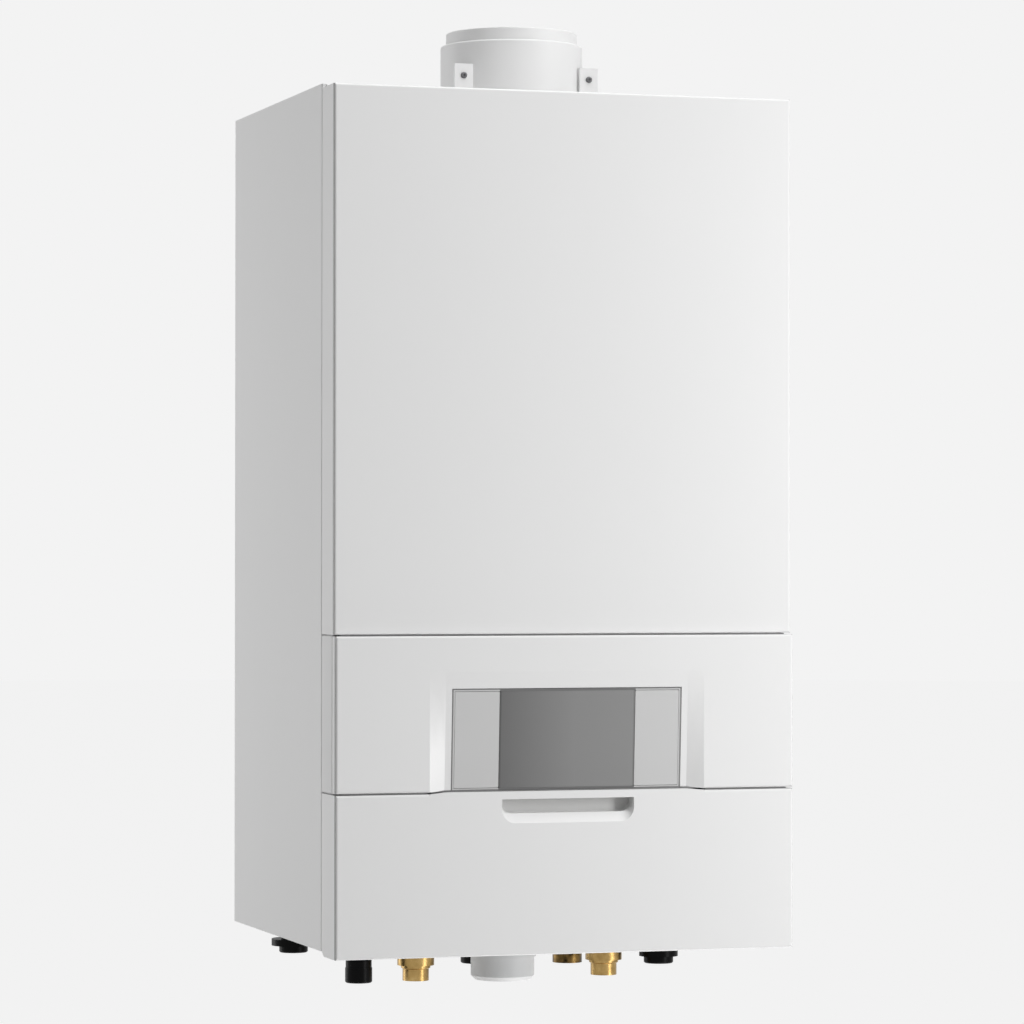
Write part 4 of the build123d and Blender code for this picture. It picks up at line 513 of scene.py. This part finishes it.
def board_lacquer():
    """Green solder resist on glass-fibre board, with the copper tracks 2.5 mm apart just showing."""
    finish, tree, shader, place = finish_named("solder_resist_green", "#0F5132", roughness=0.30)
    upright = add(tree, "ShaderNodeMapping", values={"Rotation": (math.pi / 2, 0, 0)},
                  links={"Vector": place})
    tracks = add(tree, "ShaderNodeTexBrick",
                 values={"Scale": 1.0, "Mortar Size": 0.35 * MM, "Brick Width": 14 * MM,
                         "Row Height": 2.5 * MM, "Color1": linear("#0E5A36"),
                         "Color2": linear("#146B41"), "Mortar": linear("#0A4128")},
                 links={"Vector": upright.outputs[0]})
    tree.links.new(tracks.outputs["Color"], shader.inputs["Base Color"])
    relief(tree, shader, tracks.outputs["Fac"], depth=0.03, strength=0.5)
    return finish


def soft_rubber(name, colour, roughness, cell):
    """Rubber or closed-cell foam: matt, with open cells or a talc-dulled skin."""
    finish, tree, shader, place = finish_named(name, colour, roughness)
    cells = patches(tree, place, cell, detail=4.0)
    relief(tree, shader, cells, depth=0.1, strength=0.7)
    vary_roughness(tree, shader, cells, roughness - 0.06, min(roughness + 0.08, 1.0))
    return finish


def clear_lens():
    """Clear polycarbonate lens, polished, with a few faint wipe marks."""
    finish, tree, shader, place = finish_named(
        "clear_polycarbonate", "#FBFDFD", roughness=0.04, Transmission_Weight=1.0, IOR=1.58)
    relief(tree, shader, patches(tree, place, size=14.0, stretch=(1, 1, 0.2)), depth=0.003, strength=0.3)
    return finish


def make_finishes():
    """Every finish of the boiler by the record's material slots, and the few of the scene's own pieces."""
    return {
        "front_enamel": powder_coat("powder_coat_front", "#F1F1F1", front=FASCIA_LOW[1]),
        "flap_enamel": powder_coat("powder_coat_flap", "#F1F1F1", front=FASCIA_LOW[1], pocket=True),
        "cover_enamel": powder_coat("powder_coat_cover", "#F1F1F1", front=COVER_LOW[1]),
        "side_enamel": powder_coat("powder_coat_sides", "#EFEFEF"),
        "white_plastic": moulded_plastic("white_polypropylene_moulded", "#ECECEC", roughness=0.48, grain=0.9),
        "grey_plastic": moulded_plastic("light_grey_abs_moulded", "#D0D0D0", roughness=0.42, grain=0.8),
        "rim_plastic": rim_plastic(),
        "black_plastic": moulded_plastic("black_nylon_moulded", "#030303", roughness=0.34, grain=0.8,
                                         gloss=0.08),
        "display_glass": smoked_window(),
        "clear_plastic": clear_lens(),
        "galvanised": galvanised_sheet(),
        "spring_steel": plated_steel("zinc_plated_steel", "#B7B9BC", roughness=0.30),
        "black_steel": plated_steel("black_zinc_steel", "#2A2A2C", roughness=0.42),
        "grey_steel": plated_steel("phosphated_steel", "#6F6F71", roughness=0.50),
        "magnet_steel": plated_steel("nickel_plate", "#B9B7B0", roughness=0.24),
        "circuit_green": board_lacquer(),
        "foam": soft_rubber("closed_cell_foam", "#2B2B2C", roughness=0.90, cell=0.9),
        "rubber": soft_rubber("epdm_rubber", "#1B1B1C", roughness=0.72, cell=1.5),
        "brass": turned_brass("turned_brass"),
        "tail_brass": turned_brass("turned_brass_tails", blackened_and_shaded=True),
        "copper": drawn_copper(),
        "stainless": brushed_stainless(),
        "cast_aluminium": cast_aluminium(),
        "red_enamel": vessel_enamel(),
        "dial_card": moulded_plastic("dial_card_printed", "#F4F4F1", roughness=0.55, grain=0.8),
        "dial_ink": moulded_plastic("dial_ink_black", "#1A1A1A", roughness=0.60, grain=0.8),
        "dial_green": moulded_plastic("dial_ink_green", "#2E9E4F", roughness=0.60, grain=0.8),
        "dial_red": moulded_plastic("dial_ink_red", "#C0302A", roughness=0.60, grain=0.8),
        # Mid grey for the strips that stand in the seams as painted shade.
        "seam_shade_grey": soft_rubber("tpe_seam_shade_grey", "#8C8C8C", roughness=0.70, cell=1.2),
    }


# The nodes whose finish is a variant of their slot's.
OWN_FINISH = {"front_cover": "cover_enamel", "lower_flap": "flap_enamel",
              "display_frame": "rim_plastic", "pipe_tails": "tail_brass"}


def dress_nodes(finishes):
    """Give every solid of the model the finish of its slot, and a few their own variant of it."""
    for subpart in frame["record"]["subparts"]:
        node = frame["nodes"][subpart["node"]]
        node.data.materials.clear()
        slot = OWN_FINISH.get(subpart["node"], subpart["material_slot"])
        node.data.materials.append(finishes[slot])


# ---------------------------------------------------------------- the scene's own pieces


# Points nearer than this, in metres, are one, and an edge with a steeper angle than this stays sharp.
SAME_POINT = 1e-6
SHARP_ANGLE = math.radians(35)


def piece_from(shape, name, finish, body):
    """Turn a bmesh into a finished piece that rides on a body, smooth where its faces nearly line up."""
    bmesh.ops.remove_doubles(shape, verts=shape.verts, dist=SAME_POINT)
    bmesh.ops.recalc_face_normals(shape, faces=shape.faces)
    mesh = bpy.data.meshes.new(name)
    shape.to_mesh(mesh)
    shape.free()
    mesh.materials.append(finish)
    for face in mesh.polygons:
        face.use_smooth = True
    mesh.set_sharp_from_angle(angle=SHARP_ANGLE)
    piece = bpy.data.objects.new(name, mesh)
    bpy.context.collection.objects.link(piece)
    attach(piece, body)
    return piece


def put(shape, before, centre, facing):
    """Move what was just made, lying at the origin and facing up, to its place in millimetres."""
    fresh = [v for v in shape.verts if v not in before]
    facing_it = Vector(facing).to_track_quat("Z", "Y").to_matrix().to_4x4()
    bmesh.ops.transform(shape, matrix=Matrix.Translation(Vector(centre) * MM) @ facing_it, verts=fresh)


def edges_of(verts):
    """The edges at some vertices, each once, in the same order each run."""
    return list(dict.fromkeys(edge for vert in verts for edge in vert.link_edges))


def turn(shape, profile, centre, facing, closed=False, segments=64):
    """Turn (radius, height) corners about an axis, as a disc or, where closed, as a ring."""
    before = set(shape.verts)
    verts = [shape.verts.new((r * MM, 0, h * MM)) for r, h in profile]
    pairs = list(zip(verts, verts[1:]))
    if closed:
        pairs.append((verts[-1], verts[0]))
    edges = [shape.edges.new(pair) for pair in pairs]
    bmesh.ops.spin(shape, geom=verts + edges, cent=(0, 0, 0), axis=(0, 0, 1),
                   angle=2 * math.pi, steps=segments, use_merge=True)
    put(shape, before, centre, facing)


def drawn_out(shape, edges, scale, down):
    """Pull a loop of edges out into a new loop, scaled about the axis and moved down."""
    made = bmesh.ops.extrude_edge_only(shape, edges=edges)["geom"]
    verts = [part for part in made if isinstance(part, bmesh.types.BMVert)]
    bmesh.ops.scale(shape, vec=(scale, scale, 1), verts=verts)
    bmesh.ops.translate(shape, vec=(0, 0, -down * MM), verts=verts)
    return [part for part in made if isinstance(part, bmesh.types.BMEdge)
            and all(v in verts for v in part.verts)]


# A pan-head screw in shares of its head's radius and height: the flat crown, the cross and its recess, the
# rings of the round edge, each by how much wider it is than the last and how much lower, and the shank.
CROWN = 0.66
CROSS_ARM, CROSS_HALF = 0.50, 0.13
RECESS_TAPER, RECESS_DEPTH = 0.72, 0.65
EDGE_RINGS = ((1.28, 0.12), (1.13, 0.22), (1.046, 0.30), (1.0, 0.36))
SHANK_NECK = 0.55


def pan_screw(shape, centre, facing, radius=3.5, height=2.2, shank=0.0):
    """Pan-head screw with a cross recess, its seat at the centre, and a shank if it has a length."""
    before = set(shape.verts)
    bmesh.ops.create_circle(shape, segments=32, radius=CROWN * radius * MM)
    rim = edges_of(v for v in shape.verts if v not in before)
    arm, half = CROSS_ARM * radius, CROSS_HALF * radius
    quarter = [(arm, -half), (arm, half), (half, half)]
    outline = []
    for n in range(4):
        turned = Matrix.Rotation(n * math.pi / 2, 4, "Z")
        outline += [shape.verts.new(turned @ Vector((x * MM, y * MM, 0))) for x, y in quarter]
    cross = [shape.edges.new(pair) for pair in zip(outline, outline[1:] + outline[:1])]
    bmesh.ops.triangle_fill(shape, use_beauty=True, edges=rim + cross, normal=(0, 0, 1))
    recess = drawn_out(shape, cross, RECESS_TAPER, RECESS_DEPTH * height)
    bmesh.ops.contextual_create(shape, geom=recess)
    loop = rim
    for wider, lower in EDGE_RINGS:
        loop = drawn_out(shape, loop, wider, lower * height)
    if shank:
        loop = drawn_out(shape, loop, SHANK_NECK, 0.0)
        loop = drawn_out(shape, loop, 1.0, shank)
    bmesh.ops.contextual_create(shape, geom=loop)
    fresh = [v for v in shape.verts if v not in before]
    bmesh.ops.translate(shape, vec=(0, 0, height * MM), verts=fresh)
    put(shape, before, centre, facing)


def soft_block(shape, low, high, edge, segments=3):
    """Block between two corners in millimetres, its edges rounded."""
    size = [(b - a) * MM for a, b in zip(low, high)]
    middle = [(a + b) / 2 * MM for a, b in zip(low, high)]
    made = bmesh.ops.create_cube(shape, size=1.0)["verts"]
    bmesh.ops.scale(shape, vec=size, verts=made)
    bmesh.ops.translate(shape, vec=middle, verts=made)
    bmesh.ops.bevel(shape, geom=edges_of(made), offset=edge * MM, affect="EDGES", segments=segments,
                    profile=0.5, material=-1)


# The gauge's dial, in bar and in millimetres from its middle: the card lies behind the gauge's front, on
# the pointer's axis.
BARS = 4
ZERO_ANGLE, SWEEP = math.radians(225), math.radians(270)
CARD_BACK = 4.0
CARD_RADIUS, CARD_THICKNESS = 25.2, 0.15
CHAMFER_ACROSS, CHAMFER_UP = 0.1, 0.05
BAND_INNER, BAND_OUTER, BAND_THICKNESS = 20.6, 23.4, 0.03
BANDS = {"green": (1.0, 2.0), "red": (3.0, 4.0)}
TICKS_PER_BAR, TICK_OUTER = 5, 24.0
WHOLE_TICK, PART_TICK = (4.2, 0.7), (2.6, 0.35)
NUMBER_SIZE, NUMBER_RADIUS = 7.6, 15.2
INK_THICKNESS = 0.05
NUMBER_EXTRUDE = 0.02

DIAL_X, _, DIAL_Z = in_mm(entry_named(frame["joints"], "pointer_turn")["pos_m"])
CARD_Y = corners("pressure_gauge")[0][1] + CARD_BACK
CARD_SEAT = (DIAL_X, CARD_Y, DIAL_Z)
CARD_FACE = (DIAL_X, CARD_Y - CARD_THICKNESS, DIAL_Z)


def dial_angle(bar):
    """Direction of a pressure on the dial: 0 bar at the lower left, then clockwise."""
    return ZERO_ANGLE - SWEEP * bar / BARS


def band(shape, start, end, steps=16):
    """Flat band of the dial between two pressures."""
    before = set(shape.verts)
    side = Vector((math.cos(dial_angle(start)), math.sin(dial_angle(start)), 0))
    section = ((BAND_INNER, 0), (BAND_OUTER, 0), (BAND_OUTER, BAND_THICKNESS), (BAND_INNER, BAND_THICKNESS))
    first = shape.faces.new([shape.verts.new(side * r * MM + Vector((0, 0, h * MM))) for r, h in section])
    bmesh.ops.spin(shape, geom=[first], cent=(0, 0, 0), axis=(0, 0, 1),
                   angle=dial_angle(end) - dial_angle(start), steps=steps)
    bmesh.ops.holes_fill(shape, edges=shape.edges, sides=4)
    put(shape, before, CARD_FACE, FORWARD)


def tick(shape, angle, length, width):
    """Printed stroke of the dial that ends at the ticks' outer radius."""
    before = set(shape.verts)
    stroke = bmesh.ops.create_cube(shape, size=1.0)["verts"]
    bmesh.ops.scale(shape, vec=(length * MM, width * MM, INK_THICKNESS * MM), verts=stroke)
    bmesh.ops.translate(shape, vec=((TICK_OUTER - length / 2) * MM, 0, INK_THICKNESS / 2 * MM), verts=stroke)
    bmesh.ops.rotate(shape, cent=(0, 0, 0), matrix=Matrix.Rotation(angle, 3, "Z"), verts=stroke)
    put(shape, before, CARD_FACE, FORWARD)


def number(shape, bar):
    """Printed number of a whole pressure, upright and centred on its place."""
    text = bpy.data.curves.new("number", "FONT")
    text.body = str(bar)
    text.size = NUMBER_SIZE * MM
    text.extrude = NUMBER_EXTRUDE * MM
    text.align_x, text.align_y = "CENTER", "CENTER"
    written = bpy.data.objects.new("number", text)
    before = set(shape.verts)
    shape.from_mesh(bpy.data.meshes.new_from_object(written))
    fresh = [v for v in shape.verts if v not in before]
    angle = dial_angle(bar)
    bmesh.ops.translate(shape, verts=fresh, vec=(
        NUMBER_RADIUS * MM * math.cos(angle), NUMBER_RADIUS * MM * math.sin(angle), NUMBER_EXTRUDE * MM))
    put(shape, before, CARD_FACE, FORWARD)
    bpy.data.objects.remove(written)


def make_gauge_dial(finishes):
    """Dial of the pressure gauge: white card, black ticks and numbers, and its two coloured bands."""
    card = bmesh.new()
    turn(card, [
        (0, 0), (CARD_RADIUS, 0), (CARD_RADIUS, CARD_THICKNESS - CHAMFER_UP),
        (CARD_RADIUS - CHAMFER_ACROSS, CARD_THICKNESS), (0, CARD_THICKNESS),
    ], CARD_SEAT, FORWARD)
    piece_from(card, "gauge_dial_card", finishes["dial_card"], "casing")
    for name, (start, end) in BANDS.items():
        zone = bmesh.new()
        band(zone, start, end)
        piece_from(zone, "gauge_dial_" + name, finishes["dial_" + name], "casing")
    ink = bmesh.new()
    for step in range(TICKS_PER_BAR * BARS + 1):
        length, width = PART_TICK if step % TICKS_PER_BAR else WHOLE_TICK
        tick(ink, dial_angle(step / TICKS_PER_BAR), length, width)
    for bar in range(BARS + 1):
        number(ink, bar)
    piece_from(ink, "gauge_dial_ink", finishes["dial_ink"], "casing")


# The adapter's screws in the model have heads of this radius and height, and the pieces that replace them
# smaller ones on the same seats.
MODEL_HEAD_RADIUS, MODEL_HEAD_HEIGHT = 3.8, 2.4
ADAPTER_HEAD_RADIUS, ADAPTER_HEAD_HEIGHT = 3.0, 2.0

# The casing's screws, for the service panel, the rail, the bottom plate and the chassis's rear cover: how
# far each is in from the side, and its height above or under an edge of what it holds, or in the plate its
# place from front to back.
SERVICE_IN, SERVICE_UP = 13, (10, 32)
RAIL_IN, RAIL_UP = 70, 12.6
PLATE_IN, PLATE_Y = 15, (-300, -40)
CHASSIS_IN, CHASSIS_UP, CHASSIS_DOWN = 8, 7.7, 7.9


def make_screws(finishes):
    """Small screws: the adapter's two, and those of the service panel, rail, bottom and chassis cover."""
    low, high = corners("adapter_screws")
    adapter = bmesh.new()
    x, seat = high[0] - MODEL_HEAD_RADIUS, low[1] + MODEL_HEAD_HEIGHT
    for side in (-1, 1):
        pan_screw(adapter, (side * x, seat, (low[2] + high[2]) / 2), FORWARD,
                  radius=ADAPTER_HEAD_RADIUS, height=ADAPTER_HEAD_HEIGHT, shank=high[1] - seat)
    screws = piece_from(adapter, "adapter_pan_screws", finishes["grey_steel"], "casing")
    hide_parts("adapter_screws")

    flange_front = corners("left_side_panel")[0][1]
    service_low = corners("service_panel")[0]
    rail_low = corners("cross_rail")[0]
    plate_low = corners("bottom_plate")[0]
    cover_low, cover_high = corners("chassis_rear_cover")
    places = [((HALF_WIDTH - SERVICE_IN, flange_front, service_low[2] + up), FORWARD) for up in SERVICE_UP]
    places.append(((HALF_WIDTH - RAIL_IN, flange_front, rail_low[2] + RAIL_UP), FORWARD))
    places += [((HALF_WIDTH - PLATE_IN, y, plate_low[2]), DOWNWARD) for y in PLATE_Y]
    places += [((cover_high[0] - CHASSIS_IN, cover_high[1], z), BACKWARD)
               for z in (cover_low[2] + CHASSIS_UP, cover_high[2] - CHASSIS_DOWN)]
    casing = bmesh.new()
    for side in (-1, 1):
        for (x, y, z), facing in places:
            pan_screw(casing, (side * x, y, z), facing)
    piece_from(casing, "casing_pan_screws", finishes["spring_steel"], "casing")


# The strips in the front's seams: how far they stand clear of their neighbours, their thickness, and half
# the width of the long one, of the flap's raised middle with its corners, and of the one under the display.
# Then how far each is set back from the front it lies in, and how far it reaches behind the fascia's back.
SEAM_CLEAR, FLAP_CLEAR, DISPLAY_CLEAR = 0.25, 0.2, 0.15
STRIP_THICKNESS = 1.0
STRIP_HALF, MIDDLE_HALF, DISPLAY_STRIP_HALF = 214, 134, 130
COVER_SET, FLAP_SET, DISPLAY_SET = 1.5, 2.5, 3.5
LONG_BEHIND, BEHIND = 3, 1

# The lip seal in the exhaust socket: depth of its middle under the socket's mouth, and its section as
# (radius, height) from the socket's wall and the middle.
LIP_UNDER = 8.0
LIP_SECTION = ((-0.05, -2.0), (-0.75, -1.4), (-0.95, 0.0), (-0.75, 1.4), (-0.05, 2.0))

# The rolled seam round the vessel's middle, and the radius and sides of its round section.
VESSEL_RADIUS, SEAM_RADIUS = 170.0, 169.2
SEAM_ROLL, SEAM_SIDES = 2.6, 24


def make_seam_strips(finishes):
    """Grey strips in the seams above the fascia, beside the flap's raised middle and under the display: painted
    shade, a mid grey that stands for the seams' shadow lines.
    """
    strips = bmesh.new()
    top = COVER_LOW[2] - SEAM_CLEAR
    soft_block(strips, (-STRIP_HALF, COVER_LOW[1] + COVER_SET, top - STRIP_THICKNESS),
               (STRIP_HALF, FASCIA_HIGH[1] + LONG_BEHIND, top), edge=0.3)
    top, back = FASCIA_LOW[2] - SEAM_CLEAR, FASCIA_HIGH[1] + BEHIND
    front = FASCIA_LOW[1] + FLAP_SET
    for left, right in ((-STRIP_HALF, -MIDDLE_HALF), (MIDDLE_HALF, STRIP_HALF)):
        soft_block(strips, (left, front, top - STRIP_THICKNESS), (right, back, top), edge=0.3)
    front = FASCIA_LOW[1] + DISPLAY_SET
    bottom = corners("lower_flap")[1][2] + FLAP_CLEAR
    top = corners("display_frame")[0][2] - DISPLAY_CLEAR
    soft_block(strips, (-DISPLAY_STRIP_HALF, front, bottom), (DISPLAY_STRIP_HALF, back, top), edge=0.2)
    piece_from(strips, "seam_strips", finishes["seam_shade_grey"], "casing")


def make_seals(finishes):
    """The flue's lip seal and the vessel's rolled seam, both turned."""
    socket = entry_named(frame["record"]["mounts"], "exhaust_socket")
    x, y, mouth = in_mm(socket["pos_m"])
    wall = socket["dims"]["r_mm"]
    lip = bmesh.new()
    turn(lip, [(wall + r, mouth - LIP_UNDER + h) for r, h in LIP_SECTION], (x, y, 0), (0, 0, 1), closed=True)
    piece_from(lip, "exhaust_lip_seal", finishes["rubber"], "casing")
    low, high = corners("expansion_vessel")
    middle = (0, (low[1] + high[1]) / 2, high[2] - VESSEL_RADIUS)
    seam = bmesh.new()
    angles = [2 * math.pi * n / SEAM_SIDES for n in range(SEAM_SIDES)]
    turn(seam, [(SEAM_RADIUS + SEAM_ROLL * math.cos(a), SEAM_ROLL * math.sin(a)) for a in angles],
         middle, FORWARD, closed=True, segments=160)
    piece_from(seam, "vessel_rolled_seam", finishes["red_enamel"], "casing")


bpy.context.scene.view_settings.view_transform = "Standard"
place_camera()
light_studio()
lay_floor()
finishes = make_finishes()
dress_nodes(finishes)
make_gauge_dial(finishes)
make_screws(finishes)
make_seam_strips(finishes)
make_seals(finishes)
